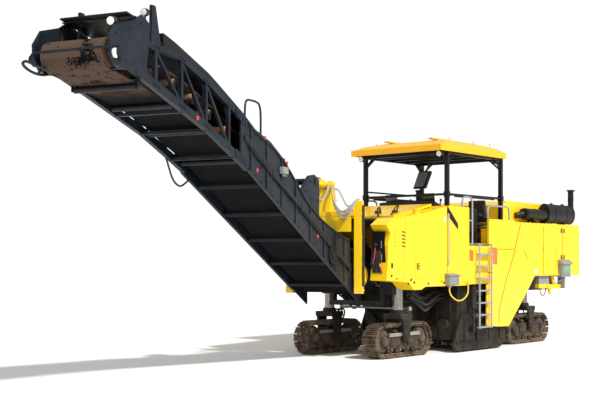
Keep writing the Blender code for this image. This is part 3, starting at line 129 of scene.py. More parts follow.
class Piece:
    """Mesh gathered from simple shapes in one frame, with one finish, riding on one body."""

    def __init__(self, name, body, finish, slot, place=MACH):
        self.name, self.body, self.finish, self.slot, self.place = name, body, finish, slot, place
        self.verts = []
        self.faces = []

    def add(self, verts, faces):
        base = len(self.verts)
        self.verts += [Vector(v) for v in verts]
        self.faces += [tuple(base + i for i in f) for f in faces]
        return self

    def box(self, x0, x1, y0, y1, z0, z1):
        v = [(x, y, z) for z in (z0, z1) for x, y in ((x0, y0), (x1, y0), (x1, y1), (x0, y1))]
        return self.add(v, BOX_FACES)

    def prism(self, outline, axis, a, b):
        area = sum(p[0] * q[1] - q[0] * p[1] for p, q in zip(outline, outline[1:] + outline[:1]))
        pts = list(outline) if area > 0 else list(reversed(outline))
        turn = {"x": lambda k, p: (k, *p), "y": lambda k, p: (p[0], k, p[1]), "z": lambda k, p: (*p, k)}[axis]
        n = len(pts)
        v = [turn(k, p) for k in (a, b) for p in pts]
        f = [tuple(reversed(range(n))), tuple(range(n, 2 * n))]
        f += [(i, (i + 1) % n, n + (i + 1) % n, n + i) for i in range(n)]
        if (axis == "y") != (b < a):
            f = [tuple(reversed(q)) for q in f]
        return self.add(v, f)

    def tube(self, points, r, sides=10, ends=None):
        """Round bar along points; ends gives another radius at the last point."""
        pts = [Vector(p) for p in points]
        first = (pts[1] - pts[0]).normalized()
        side = first.orthogonal().normalized()
        v = []
        for i, p in enumerate(pts):
            before = (p - pts[i - 1]).normalized() if i else first
            after = (pts[i + 1] - p).normalized() if i + 1 < len(pts) else before
            tan = (before + after).normalized()
            side = (side - tan * side.dot(tan)).normalized()
            other = tan.cross(side)
            rr = r if ends is None else r + (ends - r) * i / (len(pts) - 1)
            for k in range(sides):
                a = 2 * math.pi * k / sides
                v.append(p + (side * math.cos(a) + other * math.sin(a)) * rr)
        f = [tuple(reversed(range(sides)))]
        for i in range(len(pts) - 1):
            for k in range(sides):
                j = (k + 1) % sides
                f.append((i * sides + k, i * sides + j, (i + 1) * sides + j, (i + 1) * sides + k))
        f.append(tuple(range((len(pts) - 1) * sides, len(pts) * sides)))
        return self.add(v, f)

    def rod(self, p, q, r, sides=18, ends=None):
        return self.tube([p, q], r, sides, ends)

    def bar(self, p, q, w, d, up=UP):
        a, b = Vector(p), Vector(q)
        t = (b - a).normalized()
        side = t.cross(Vector(up)).normalized()
        other = side.cross(t)
        v = [e + side * (i * w / 2) + other * (j * d / 2) for e in (a, b)
             for i, j in ((-1, -1), (1, -1), (1, 1), (-1, 1))]
        f = [(0, 1, 2, 3), (7, 6, 5, 4)] + [((i + 1) % 4, i, 4 + i, 4 + (i + 1) % 4) for i in range(4)]
        return self.add(v, f)

    def bolt(self, p, axis=OUT, r=0.014, h=0.010):
        """Washer and hexagon head."""
        p, axis = Vector(p), Vector(axis)
        self.rod(p, p + axis * h * 0.3, r * 1.35, 12)
        return self.rod(p, p + axis * h, r, 6)

    def bolts(self, points, axis=OUT, r=0.014, h=0.010):
        for p in points:
            self.bolt(p, axis, r, h)
        return self

    def curve(self, points, r, sides=8, steps=5):
        """Tube on a smooth line through the points."""
        return self.tube(smooth_line(points, steps), r, sides)

    def mirror(self):
        """Adds the mirror image across the middle plane of the piece's own frame."""
        flipped = [Vector((v.x, -v.y, v.z)) for v in self.verts]
        return self.add(flipped, [tuple(reversed(f)) for f in self.faces])

    def done(self, bevel=0.003, replaces=(), angle=35, segments=2):
        mesh = bpy.data.meshes.new(self.name)
        mesh.from_pydata([tuple(self.place @ v) for v in self.verts], [], self.faces)
        mesh.validate()
        ob = new_object(self.name, mesh)
        mesh.materials.append(MATS[self.finish])
        soften(ob, bevel, angle, segments)
        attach(ob, self.body)
        if replaces:
            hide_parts(*replaces)
        return ob


def soften(ob, bevel, angle=35, segments=2):
    """Round shading with crisp edges, and a small bevel along the sharp ones."""
    for poly in ob.data.polygons:
        poly.use_smooth = True
    ob.data.set_sharp_from_angle(angle=math.radians(angle))
    if bevel:
        bevel_edges(ob, bevel, angle, segments)


def bevel_edges(ob, width, angle, segments):
    mod = ob.modifiers.new("edges", "BEVEL")
    mod.width = width
    mod.segments = segments
    mod.limit_method = "ANGLE"
    mod.angle_limit = math.radians(angle)
    mod.harden_normals = True


def smooth_line(points, steps=5):
    """Points on a smooth curve through the given ones."""
    pts = [Vector(p) for p in points]
    pts = [pts[0] * 2 - pts[1]] + pts + [pts[-1] * 2 - pts[-2]]
    line = []
    for i in range(1, len(pts) - 2):
        a = (pts[i + 1] - pts[i - 1]) * 0.5
        b = (pts[i + 2] - pts[i]) * 0.5
        for k in range(steps):
            t = k / steps
            line.append(pts[i] * (2 * t ** 3 - 3 * t ** 2 + 1) + a * (t ** 3 - 2 * t ** 2 + t)
                        + pts[i + 1] * (3 * t ** 2 - 2 * t ** 3) + b * (t ** 3 - t ** 2))
    line.append(pts[-2])
    return line


# ------------------------------------------------------------------ cords
def cord_piece(name, node, body, finish, points, r, place):
    """Free hose on the route of its CAD tube."""
    line = [place @ p for p in smooth_line(points, 4)]
    data = bpy.data.curves.new(name, "CURVE")
    data.dimensions = "3D"
    data.bevel_depth = r
    data.bevel_resolution = 5
    data.use_fill_caps = True
    spline = data.splines.new("POLY")
    spline.points.add(len(line) - 1)
    for point, p in zip(spline.points, line):
        point.co = (*p, 1.0)
    ob = new_object(name, data)
    data.materials.append(MATS[finish])
    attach(ob, body)
    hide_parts(node)


def cords():
    y = HALF + 0.045
    x = LEVEL_X
    cord_piece("level_hose", "hose_level_left", "chassis", "hose_yellow",
               [(x + 0.09, y, 1.1993), (x + 0.09, y, 1.17), (x + 0.088, y, 1.12), (x + 0.05, y + 0.01, 1.05),
                (x - 0.04, y + 0.02, 0.99), (x - 0.16, y + 0.02, 0.955), (x - 0.29, y + 0.02, 0.96),
                (x - 0.42, y + 0.02, 1.01), (x - 0.51, y + 0.01, 1.08), (x - 0.54, y, 1.16),
                (x - 0.54, y, 1.20),
                (x - 0.54, y, 1.2393)], 0.014, MACH)
    y = HALF - 0.10
    cord_piece("rear_cable", "cable_rear_left", "chassis", "hose_rubber",
               [(-5.57, y, 1.1193), (-5.57, y, 1.085), (-5.565, y, 1.04), (-5.54, y, 0.995),
                (-5.495, y, 0.97),
                (-5.445, y, 0.965), (-5.39, y, 0.985), (-5.35, y, 1.025), (-5.335, y, 1.08),
                (-5.335, y, 1.1193)],
               0.009, MACH)
    cord_piece("mast_hose", "hose_mast", "slew", "hose_grey",
               [(0.06, 0.1007, 2.90), (0.06, 0.125, 2.90), (0.06, 0.15, 2.898), (0.065, 0.20, 2.865),
                (0.08, 0.25, 2.79), (0.11, 0.31, 2.69), (0.15, 0.37, 2.615), (0.185, 0.43, 2.59),
                (0.215, 0.47, 2.60), (0.22, 0.505, 2.61), (0.22, 0.53, 2.61), (0.22, 0.5593, 2.61)], 0.013,
               ARM)


# ------------------------------------------------------------------ materials
MATS = {}


def feed(tree, target, values):
    """Sets a node's inputs: each value is a constant, or another node's output to link."""
    for key, value in values.items():
        if isinstance(value, bpy.types.NodeSocket):
            tree.links.new(value, target.inputs[key])
        else:
            target.inputs[key].default_value = value


def node(tree, kind, values=None, **settings):
    """New shader node with its settings and inputs."""
    new = tree.nodes.new("ShaderNode" + kind)
    for key, value in settings.items():
        setattr(new, key, value)
    feed(tree, new, values or {})
    return new


def mat(name, base, rough=0.4, metal=0.0, dirt=(0.30, 0.24, 0.17), dirt_amt=0.25, dirt_top=1.6, dirt_from=0.0,
        vary=0.06, scale=3.0, bump=0.15, bump_scale=120.0, coat=0.0, chips=0.0, chip_col=(0.10, 0.09, 0.08),
        streak=0.0, spec=0.5):
    """Procedural surface: a base colour that varies, dust, streaks, chips and bump.

    The dust thickens from the height dirt_top to the height dirt_from.
    """
    m = bpy.data.materials.new(name)
    m.use_nodes = True
    tree = m.node_tree
    place = node(tree, "TexCoord").outputs["Object"]

    def noise(at=place, **values):
        return node(tree, "TexNoise", {"Vector": at, **values}).outputs["Fac"]

    def spread(value, from_min, from_max, to_min=0.0, to_max=1.0):
        return node(tree, "MapRange", {"Value": value, "From Min": from_min, "From Max": from_max,
                                       "To Min": to_min, "To Max": to_max}).outputs[0]

    def maths(operation, *values, clamp=False):
        return node(tree, "Math", dict(enumerate(values)), operation=operation, use_clamp=clamp).outputs[0]

    def blend(share, colour, other):
        return node(tree, "Mix", {"Factor": share, "A": colour, "B": (*other, 1)},
                    data_type="RGBA").outputs["Result"]

    large = noise(Scale=scale, Detail=6.0, Roughness=0.62)
    fine = noise(Scale=scale * 9.0, Detail=5.0)
    colour = node(tree, "HueSaturation", {"Color": (*base, 1), "Value": spread(
        large, 0.3, 0.7, 1.0 - vary, 1.0 + vary)}).outputs["Color"]
    height = node(tree, "SeparateXYZ", {0: place}).outputs["Z"]
    low = spread(height, dirt_from, dirt_top, 1.0, 0.12 if dirt_from < dirt_top else 0.0)
    patches = spread(maths("MULTIPLY_ADD", fine, 0.5, large), 0.62, 0.98)
    dust = maths("MULTIPLY", maths("MULTIPLY", patches, low), dirt_amt * 3.0, clamp=True)
    if streak > 0:
        tall = node(tree, "Mapping", {"Vector": place, "Scale": (14.0, 14.0, 0.7)}).outputs[0]
        runs = spread(noise(tall, Scale=1.0, Detail=4.0), 0.55, 0.8, 0.0, streak)
        colour = blend(runs, colour, (dirt[0] * 0.6, dirt[1] * 0.55, dirt[2] * 0.5))
    if chips > 0:
        spots = spread(noise(Scale=26.0, Detail=8.0, Roughness=0.75), 0.70 - 0.10 * chips,
                       0.72 - 0.10 * chips)
        colour = blend(spots, colour, chip_col)
    gloss = spread(fine, 0.3, 0.8, max(0.03, rough - 0.08), min(1.0, rough + 0.16))
    relief = node(tree, "Bump", {"Height": noise(Scale=bump_scale, Detail=4.0), "Strength": bump,
                                 "Distance": 0.004})
    feed(tree, tree.nodes["Principled BSDF"], {
        "Metallic": metal, "Specular IOR Level": spec, "Coat Weight": coat, "Coat Roughness": 0.12,
        "Base Color": blend(dust, colour, dirt), "Normal": relief.outputs["Normal"],
        "Roughness": maths("MULTIPLY_ADD", dust, 0.45, gloss, clamp=True)})
    MATS[name] = m


YELLOW = (0.95, 0.61, 0.0)
mat("yellow_paint", YELLOW, 0.30, 0, dirt_amt=0.10, coat=0.35, bump=0.03, bump_scale=60, vary=0.035,
    streak=0.10,
    dirt=(0.42, 0.30, 0.12))
mat("yellow_worn", YELLOW, 0.42, 0, dirt_amt=0.32, coat=0.1, bump=0.08, bump_scale=50, vary=0.06, chips=0.5,
    streak=0.2, dirt=(0.26, 0.19, 0.10))
# the canopy's yellow paint, made darker and oranger than the body yellow: painted shade
mat("canopy_yellow_and_painted_shade", (0.90, 0.46, 0.0), 0.38, 0, dirt_amt=0.06, coat=0.2, bump=0.04, bump_scale=40, vary=0.04)
mat("black_paint", (0.006, 0.006, 0.007), 0.42, 0, spec=0.25, dirt_amt=0.16, bump=0.10, bump_scale=90,
    vary=0.2, chips=0.2,
    chip_col=(0.06, 0.055, 0.05), dirt=(0.13, 0.105, 0.08))
mat("black_plastic", (0.012, 0.012, 0.013), 0.5, 0, dirt_amt=0.05, bump=0.2, bump_scale=300, vary=0.1)
mat("truss_paint", (0.004, 0.010, 0.020), 0.36, 0.1, spec=0.3, dirt_amt=0.07, bump=0.10, bump_scale=70,
    vary=0.25, chips=0.5,
    chip_col=(0.045, 0.055, 0.07), dirt=(0.09, 0.08, 0.07), dirt_top=9.0)
mat("housing_black", (0.009, 0.0085, 0.008), 0.5, 0, spec=0.2, dirt_amt=0.3, bump=0.3, bump_scale=60,
    vary=0.3,
    dirt=(0.075, 0.057, 0.043), chips=0.4, chip_col=(0.05, 0.036, 0.026))
mat("track_steel", (0.060, 0.045, 0.034), 0.62, 0.35, dirt_amt=0.9, dirt=(0.22, 0.16, 0.11), dirt_top=1.2,
    bump=0.5,
    bump_scale=90, vary=0.35, scale=7)
mat("chrome", (0.36, 0.34, 0.33), 0.20, 1.0, dirt_amt=0.25, dirt=(0.06, 0.04, 0.03), dirt_top=2, bump=0.01,
    vary=0.03)
mat("galvanised", (0.46, 0.47, 0.47), 0.42, 0.75, dirt_amt=0.10, bump=0.12, bump_scale=40, vary=0.2, scale=14)
mat("belt_rubber", (0.008, 0.0075, 0.0075), 0.75, 0, spec=0.1, dirt_amt=0.2, dirt=(0.07, 0.06, 0.05),
    dirt_top=7, bump=0.4,
    bump_scale=120, vary=0.3)
mat("drum_steel", (0.17, 0.11, 0.075), 0.6, 0.55, dirt_amt=0.5, dirt=(0.16, 0.10, 0.06), dirt_top=9, bump=0.5,
    bump_scale=60, vary=0.35, scale=9)
mat("pick_steel", (0.20, 0.17, 0.15), 0.45, 0.8, dirt_amt=0.3, bump=0.3, vary=0.3)
mat("seat_vinyl", (0.018, 0.018, 0.02), 0.55, 0, dirt_amt=0.05, bump=0.5, bump_scale=420, vary=0.1)
mat("hose_rubber", (0.016, 0.016, 0.017), 0.6, 0, dirt_amt=0.15, bump=0.25, bump_scale=220, vary=0.2,
    dirt=(.1, .09, .08))
mat("hose_grey", (0.34, 0.34, 0.33), 0.55, 0, dirt_amt=0.2, bump=0.25, bump_scale=220, vary=0.15)
mat("hose_yellow", (0.80, 0.50, 0.03), 0.5, 0, dirt_amt=0.2, bump=0.2, bump_scale=200, vary=0.1)
mat("lamp_white", (0.80, 0.80, 0.76), 0.15, 0, dirt_amt=0.05, coat=0.8, bump=0.0, vary=0.05)
mat("reflector_red", (0.55, 0.02, 0.015), 0.2, 0, dirt_amt=0.1, coat=0.8, bump=0.3, bump_scale=400, vary=0.1)
mat("reflector_amber", (0.80, 0.14, 0.004), 0.2, 0, dirt_amt=0.05, coat=0.8, bump=0.3, bump_scale=400,
    vary=0.1)
mat("idler_beige", (0.34, 0.24, 0.15), 0.6, 0.1, dirt_amt=0.5, dirt=(0.22, 0.15, 0.09), dirt_top=9, bump=0.3,
    vary=0.2)
mat("grey_paint", (0.24, 0.25, 0.26), 0.4, 0, dirt_amt=0.15, bump=0.1, vary=0.1)
mat("screen_green", (0.10, 0.42, 0.22), 0.2, 0, dirt_amt=0.02, coat=0.6, bump=0.0, vary=0.1)
mat("white_plate", (0.80, 0.80, 0.78), 0.35, 0, dirt_amt=0.08, bump=0.02, vary=0.03)
mat("track_wheel", (0.045, 0.034, 0.026), 0.62, 0.2, dirt_amt=0.7, dirt=(0.135, 0.098, 0.068), dirt_top=1.2,
    bump=0.4,
    bump_scale=70, vary=0.3, scale=6)
mat("track_frame", (0.018, 0.015, 0.013), 0.58, 0.1, dirt_amt=0.5, dirt=(0.105, 0.075, 0.05), dirt_top=1.4,
    bump=0.35,
    bump_scale=60, vary=0.3, scale=6)
mat("yoke_black", (0.012, 0.011, 0.011), 0.48, 0, spec=0.25, dirt_amt=0.25, dirt=(0.09, 0.066, 0.045),
    dirt_top=1.5, bump=0.2,
    bump_scale=60, vary=0.3, scale=5)
mat("belt_dusty", (0.004, 0.0038, 0.0038), 0.8, 0, dirt_amt=2.2, dirt=(0.085, 0.056, 0.042), dirt_top=3.60,
    dirt_from=3.84, spec=0.08, bump=0.7, bump_scale=90, vary=0.4, scale=4)
mat("idler_orange", (0.80, 0.20, 0.02), 0.45, 0, dirt_amt=0.3, dirt=(0.25, 0.13, 0.07), dirt_top=9, bump=0.2,
    vary=0.15)
# painted shade: a dark copy of the yellow paint for the underside of the canopy roof
mat("canopy_liner", (0.05, 0.035, 0.006), 0.6, 0, dirt_amt=0.08, bump=0.05, bump_scale=30, vary=0.05)
mat("screen_dark", (0.010, 0.014, 0.018), 0.12, 0, dirt_amt=0.03, coat=0.7, bump=0.0, vary=0.1)
mat("box_grey", (0.26, 0.28, 0.27), 0.4, 0, dirt_amt=0.3, dirt=(0.12, 0.10, 0.08), dirt_top=3, bump=0.1,
    vary=0.15)


# ------------------------------------------------------------------ lights and floor
WORLD_LIGHT, WORLD_SEEN = 0.55, 1.05      # the world's strength as a light and behind the machine
SUN_FROM = Vector((0.15, 0.95, 0.95))
FLOOR_HALF, FLOOR_Z = 60, -0.001


def lights():
    """White studio: bright world, a sun from the machine's left, a broad fill from the front."""
    world = bpy.data.worlds.new("studio")
    bpy.context.scene.world = world
    world.use_nodes = True
    tree = world.node_tree
    path = node(tree, "LightPath").outputs["Is Camera Ray"]
    strength = node(tree, "MapRange", {"Value": path, "To Min": WORLD_LIGHT, "To Max": WORLD_SEEN}).outputs[0]
    feed(tree, tree.nodes["Background"], {"Color": (1.0, 1.0, 1.0, 1), "Strength": strength})
    sun = bpy.data.lights.new("sun", "SUN")
    sun.energy = 4.0
    sun.angle = math.radians(4.0)
    sun.color = (1.0, 0.97, 0.90)
    aim(new_object("sun", sun), -SUN_FROM)
    fill = bpy.data.lights.new("fill", "AREA")
    fill.shape = "RECTANGLE"
    fill.size, fill.size_y = 9, 6
    fill.energy = 450
    lamp = new_object("fill", fill)
    lamp.location = (14, 14, 9)
    aim(lamp, Vector((0, 0, 1.5)) - lamp.location)


def floor():
    """Plain pale floor just below the tracks."""
    mesh = bpy.data.meshes.new("floor")
    corners = ((-1, -1), (1, -1), (1, 1), (-1, 1))
    mesh.from_pydata([(x * FLOOR_HALF, y * FLOOR_HALF, FLOOR_Z) for x, y in corners], [], [(0, 1, 2, 3)])
    m = bpy.data.materials.new("floor")
    m.use_nodes = True
    feed(m.node_tree, m.node_tree.nodes["Principled BSDF"],
         {"Base Color": (0.90, 0.90, 0.90, 1), "Roughness": 0.95})
    mesh.materials.append(m)
    new_object("floor", mesh)


# ------------------------------------------------------------------ tracks and legs
SHOES = 29
TRACK_R, FLAT, SHOE_T, CHAIN_T, TRACK_W = 0.30, 1.12, 0.045, 0.035, 0.30


def on_track(radius, d):
    """Place and outward direction at the distance d along a track's run of the given radius."""
    half_turn = math.pi * radius
    d %= 2 * FLAT + 2 * half_turn
    if d < FLAT:
        return Vector((-FLAT / 2 + d, 0, -radius)), Vector((0, 0, -1))
    d -= FLAT
    if d < half_turn:
        a = d / radius - math.pi / 2
        n = Vector((math.cos(a), 0, math.sin(a)))
        return Vector((FLAT / 2, 0, 0)) + n * radius, n
    d -= half_turn
    if d < FLAT:
        return Vector((FLAT / 2 - d, 0, radius)), Vector((0, 0, 1))
    a = (d - FLAT) / radius + math.pi / 2
    n = Vector((math.cos(a), 0, math.sin(a)))
    return Vector((-FLAT / 2, 0, 0)) + n * radius, n


def oriented(piece, centre, n, along, outward, wide, shift=0.0, lift=0.0, y=0.0):
    """Block on the track: along its run, outward and across it."""
    t = Vector((-n.z, 0, n.x))
    c = centre + t * shift + n * lift + OUT * y
    v = [c + t * (i * along / 2) + OUT * (j * wide / 2) + n * (k * outward / 2)
         for k in (-1, 1) for i, j in ((-1, -1), (1, -1), (1, 1), (-1, 1))]
    piece.add(v, BOX_FACES)


def track_chain(piece):
    base = TRACK_R - SHOE_T
    length = 2 * FLAT + 2 * math.pi * base
    pitch = length / SHOES
    for i in range(SHOES):
        c, n = on_track(base, pitch * (i + 0.5))
        oriented(piece, c, n, pitch * 0.93, 0.016, TRACK_W, lift=0.010)
        for k in (-1, 0, 1):
            oriented(piece, c, n, 0.012, 0.030 if k else 0.024, TRACK_W * 0.97, shift=k * pitch * 0.30,
                     lift=0.030)
        for k in (-1, 1):
            oriented(piece, c, n, 0.022, 0.012, 0.022, shift=pitch * 0.14, lift=0.020, y=k * 0.105)
            oriented(piece, c, n, 0.022, 0.012, 0.022, shift=-pitch * 0.14, lift=0.020, y=k * 0.105)
            oriented(piece, c, n, pitch * 1.04, CHAIN_T * 1.1, 0.022, lift=-CHAIN_T * 0.5, y=k * 0.075)
        p, _ = on_track(base - CHAIN_T * 0.5, (2 * FLAT + 2 * math.pi * (base - CHAIN_T * 0.5)) * i / SHOES)
        piece.rod(p - OUT * 0.1, p + OUT * 0.1, 0.013, 10)


def track_wheels(piece):
    inner = TRACK_R - SHOE_T - CHAIN_T
    for end in (-1, 1):
        x = end * FLAT / 2
        piece.rod((x, -0.05, 0), (x, 0.05, 0), inner - 0.002, 32)
        for s in (-1, 1):
            piece.rod((x, 0, 0), (x, s * 0.075, 0), inner - 0.035, 28)
            piece.rod((x, 0, 0), (x, s * 0.150, 0), 0.082, 20)
            piece.rod((x, 0, 0), (x, s * 0.162, 0), 0.050, 16)
            piece.bolts([(x + 0.062 * math.cos(a), s * 0.150, 0.062 * math.sin(a))
                         for a in (k * math.pi / 3 for k in range(6))], OUT * s, 0.008, 0.010)
    for i in range(4):
        x = -0.36 + 0.24 * i
        z = -TRACK_R + SHOE_T + CHAIN_T + 0.074
        for s in (-1, 1):
            piece.rod((x, s * 0.03, z), (x, s * 0.10, z), 0.072, 22)
            piece.rod((x, 0, z), (x, s * 0.138, z), 0.034, 16)
            piece.bolt((x, s * 0.138, z), OUT * s, 0.014, 0.010)
    for x in (-0.18, 0.2):
        piece.rod((x, -0.10, 0.150), (x, 0.10, 0.150), 0.035, 14)


def track_frame(piece):
    """Side frame between the wheels, with its covers, tension cylinder and bolts."""
    side = [(-0.50, -0.13), (0.50, -0.13), (0.43, -0.02), (0.47, 0.05), (0.36, 0.115), (-0.36, 0.115),
            (-0.47, 0.05),
            (-0.43, -0.02)]
    piece.prism(side, "y", -0.122, 0.122)
    for s in (-1, 1):
        lo, hi = sorted((s * 0.118, s * 0.136))
        piece.prism([(-0.40, -0.10), (-0.12, -0.10), (-0.10, 0.06), (-0.36, 0.07)], "y", lo, hi)
        piece.prism([(0.40, -0.10), (0.12, -0.10), (0.10, 0.06), (0.36, 0.07)], "y", lo, hi)
        piece.bolts([(x, s * 0.136, z) for x in (-0.35, -0.25, -0.15, 0.15, 0.25, 0.35) for z in (-0.08,
                                                                                                  0.045)],
                    OUT * s, 0.010, 0.009)
        piece.rod((0, s * 0.11, 0.04), (0, s * 0.152, 0.04), 0.072, 22)
        piece.tube([(-0.34, s * 0.142, -0.03), (-0.10, s * 0.148, -0.045), (0.12, s * 0.148, -0.045)], 0.010,
                   8)
        piece.box(-0.10, 0.10, *sorted((s * 0.10, s * 0.128)), -0.155, -0.12)
    piece.rod((0, -0.075, 0.20), (0, 0.075, 0.20), 0.040, 16)
    piece.box(-0.06, 0.06, -0.03, 0.03, 0.10, 0.2)


def crawler(key):
    name, x, y = TRACKS[key]
    body = "leg_" + key
    place = MACH @ Matrix.Translation((x, y, TRACK_R))
    chain = Piece("chain_" + key, body, "track_steel", "track", place)
    track_chain(chain)
    chain.done(0.0025, replaces=("track_" + name,), segments=1)
    wheels = Piece("wheels_" + key, body, "track_wheel", "track", place)
    track_wheels(wheels)
    wheels.done(0.003, segments=1)
    side = Piece("side_frame_" + key, body, "track_frame", "track", place)
    track_frame(side)
    side.done(0.003, segments=1)
    if key[0] == "f":
        rail = Piece("rails_" + key, body, "galvanised", "grey", place)
        for s in (-1, 1):
            lo, hi = sorted((s * 0.118, s * 0.160))
            for z in (0.082, 0.122):
                rail.box(-0.46, 0.46, lo, hi, z - 0.009, z + 0.009)
            rail.box(-0.44, 0.44, *sorted((s * 0.11, s * 0.150)), 0.085, 0.120)
            rail.bolts([(-0.30 + 0.2 * i, s * 0.150, 0.102) for i in range(4)], OUT * s, 0.011, 0.012)
        rail.done(0.002, segments=1)


def leg(key):
    name, x, y = TRACKS[key]
    body = "leg_" + key
    place = MACH @ Matrix.Translation((x, y, 0))
    column = Piece("column_" + key, body, "chrome", "chrome", place)
    column.rod((0, 0, 0.76), (0, 0, 1.80), 0.0895, 48)
    column.rod((0, 0, 0.82), (0, 0, 0.845), 0.096, 32)
    column.done(0.002, replaces=("leg_" + name,), segments=1)
    yoke = Piece("yoke_" + key, body, "yoke_black", "black", place)
    yoke.rod((0, 0, 0.70), (0, 0, 0.80), 0.122, 32)
    yoke.rod((0, 0, 0.79), (0, 0, 0.815), 0.104, 32)
    yoke.prism([(-0.17, -0.19), (0.17, -0.19), (0.17, 0.19), (-0.17, 0.19)], "z", 0.665, 0.755)
    yoke.bolts([(0.108 * math.cos(a), 0.108 * math.sin(a),
                 0.80) for a in (k * math.pi / 4 for k in range(8))],
               UP, 0.009, 0.012)
    for s in (-1, 1):
        lo, hi = sorted((s * 0.157, s * 0.200))
        yoke.prism([(-0.13, 0.70), (0.13, 0.70), (0.085, 0.29), (-0.085, 0.29)], "y", lo, hi)
        yoke.rod((0, s * 0.157, 0.34), (0, s * 0.212, 0.34), 0.060, 24)
        yoke.rod((0, s * 0.19, 0.34), (0, s * 0.218, 0.34), 0.036, 20)
        yoke.bolts([(dx, s * 0.200, z) for dx in (-0.07, 0.07) for z in (0.50, 0.62)], OUT * s, 0.013, 0.011)
    if key[0] == "f":
        yoke.prism([(0.0, -0.05), (0.0, 0.05), (-0.39, 0.04), (-0.39, -0.04)], "z", 0.764, 0.794)
    yoke.done(0.004)
    hoses = Piece("leg_hoses_" + key, body, "hose_rubber", "rubber", place)
    sy = 1 if y > 0 else -1
    for k, dx in enumerate((-0.05, 0.0, 0.05)):
        hoses.curve([(dx, sy * 0.16, 0.70), (dx + 0.02, sy * 0.165, 0.60), (dx - 0.03, sy * 0.15, 0.52),
                     (dx + 0.01, sy * 0.10, 0.50)], 0.011, 8)
    hoses.curve([(-0.10, -sy * 0.12, 0.76), (-0.20, -sy * 0.16, 0.80), (-0.27, -sy * 0.14, 0.70),
                 (-0.22, -sy * 0.10, 0.56), (-0.12, -sy * 0.06, 0.50)], 0.014, 8)
    hoses.done(0, segments=1)


def steering():
    tie = Piece("tie_rod_detail", "tie_rod", "grey_paint", "black")
    x, z = -0.69 - 0.36, 0.76 + 0.064
    for s in (-1, 1):
        tie.rod((x, s * 0.60, z), (x, s * 0.70, z), 0.026, 6)
        tie.rod((x, s * 0.76, z - 0.02), (x, s * 0.76, z + 0.036), 0.030, 20)
        tie.bolt((x, s * 0.76, z + 0.036), UP, 0.016, 0.014)
    tie.done(0.002)


# ------------------------------------------------------------------ milling gear
def drum_picks():
    """Conical picks in their holders, wound in from both ends."""
    picks = Piece("drum_picks", "drum", "pick_steel", "steel")
    blocks = Piece("pick_blocks", "drum", "drum_steel", "steel")
    x0, z0 = DRUM
    for side in (-1, 1):
        for i in range(60):
            a = 2 * math.pi * (i * 0.205 / 3 + (0.0 if side > 0 else 0.31))
            y = side * (0.03 + i * 0.0158)
            out = Vector((math.cos(a), 0, math.sin(a)))
            run = Vector((-math.sin(a), 0, math.cos(a)))
            root = Vector((x0, y, z0)) + out * 0.425
            tip = Vector((x0, y, z0)) + out * 0.512 + run * 0.05
            blocks.bar(root - out * 0.01, root + out * 0.055 + run * 0.02, 0.042, 0.055, OUT)
            picks.rod(root + out * 0.04 + run * 0.012, tip, 0.017, 8, 0.005)
    blocks.done(0.002, segments=1)
    picks.done(0, segments=1)


def side_plates():
    """Wear strips, ribs and bolts of the plates, and the rods that lift them."""
    for tag, s in (("l", 1), ("r", -1)):
        y0 = 1.098
        plate = Piece("plate_detail_" + tag, "side_plate_" + tag, "housing_black", "black")
        plate.prism([(-2.05, 0.155), (-2.03, 0.185), (-3.72, 0.185), (-3.76, 0.155)], "y", y0, y0 + 0.020)
        plate.prism([(-2.30, 0.60), (-2.28, 0.66), (-3.46, 0.66), (-3.52, 0.60)], "y", y0, y0 + 0.012)
        for x in (-2.32, -2.75, -3.2, -3.6):
            plate.box(x - 0.012, x + 0.012, y0, y0 + 0.020, 0.19, 0.60 if x > -3.5 else 0.46)
        plate.bolts([(-2.12 - 0.155 * i, y0 + 0.018, 0.10) for i in range(11)], OUT, 0.016, 0.012)
        plate.bolts([(-2.40 - 0.27 * i, y0 + 0.010, 0.63) for i in range(5)], OUT, 0.012, 0.010)
        plate.rod((-2.53, y0, 0.41), (-2.53, 1.20, 0.41), 0.030, 20)
        mirrored_to(plate, s).done(0.002, segments=1)


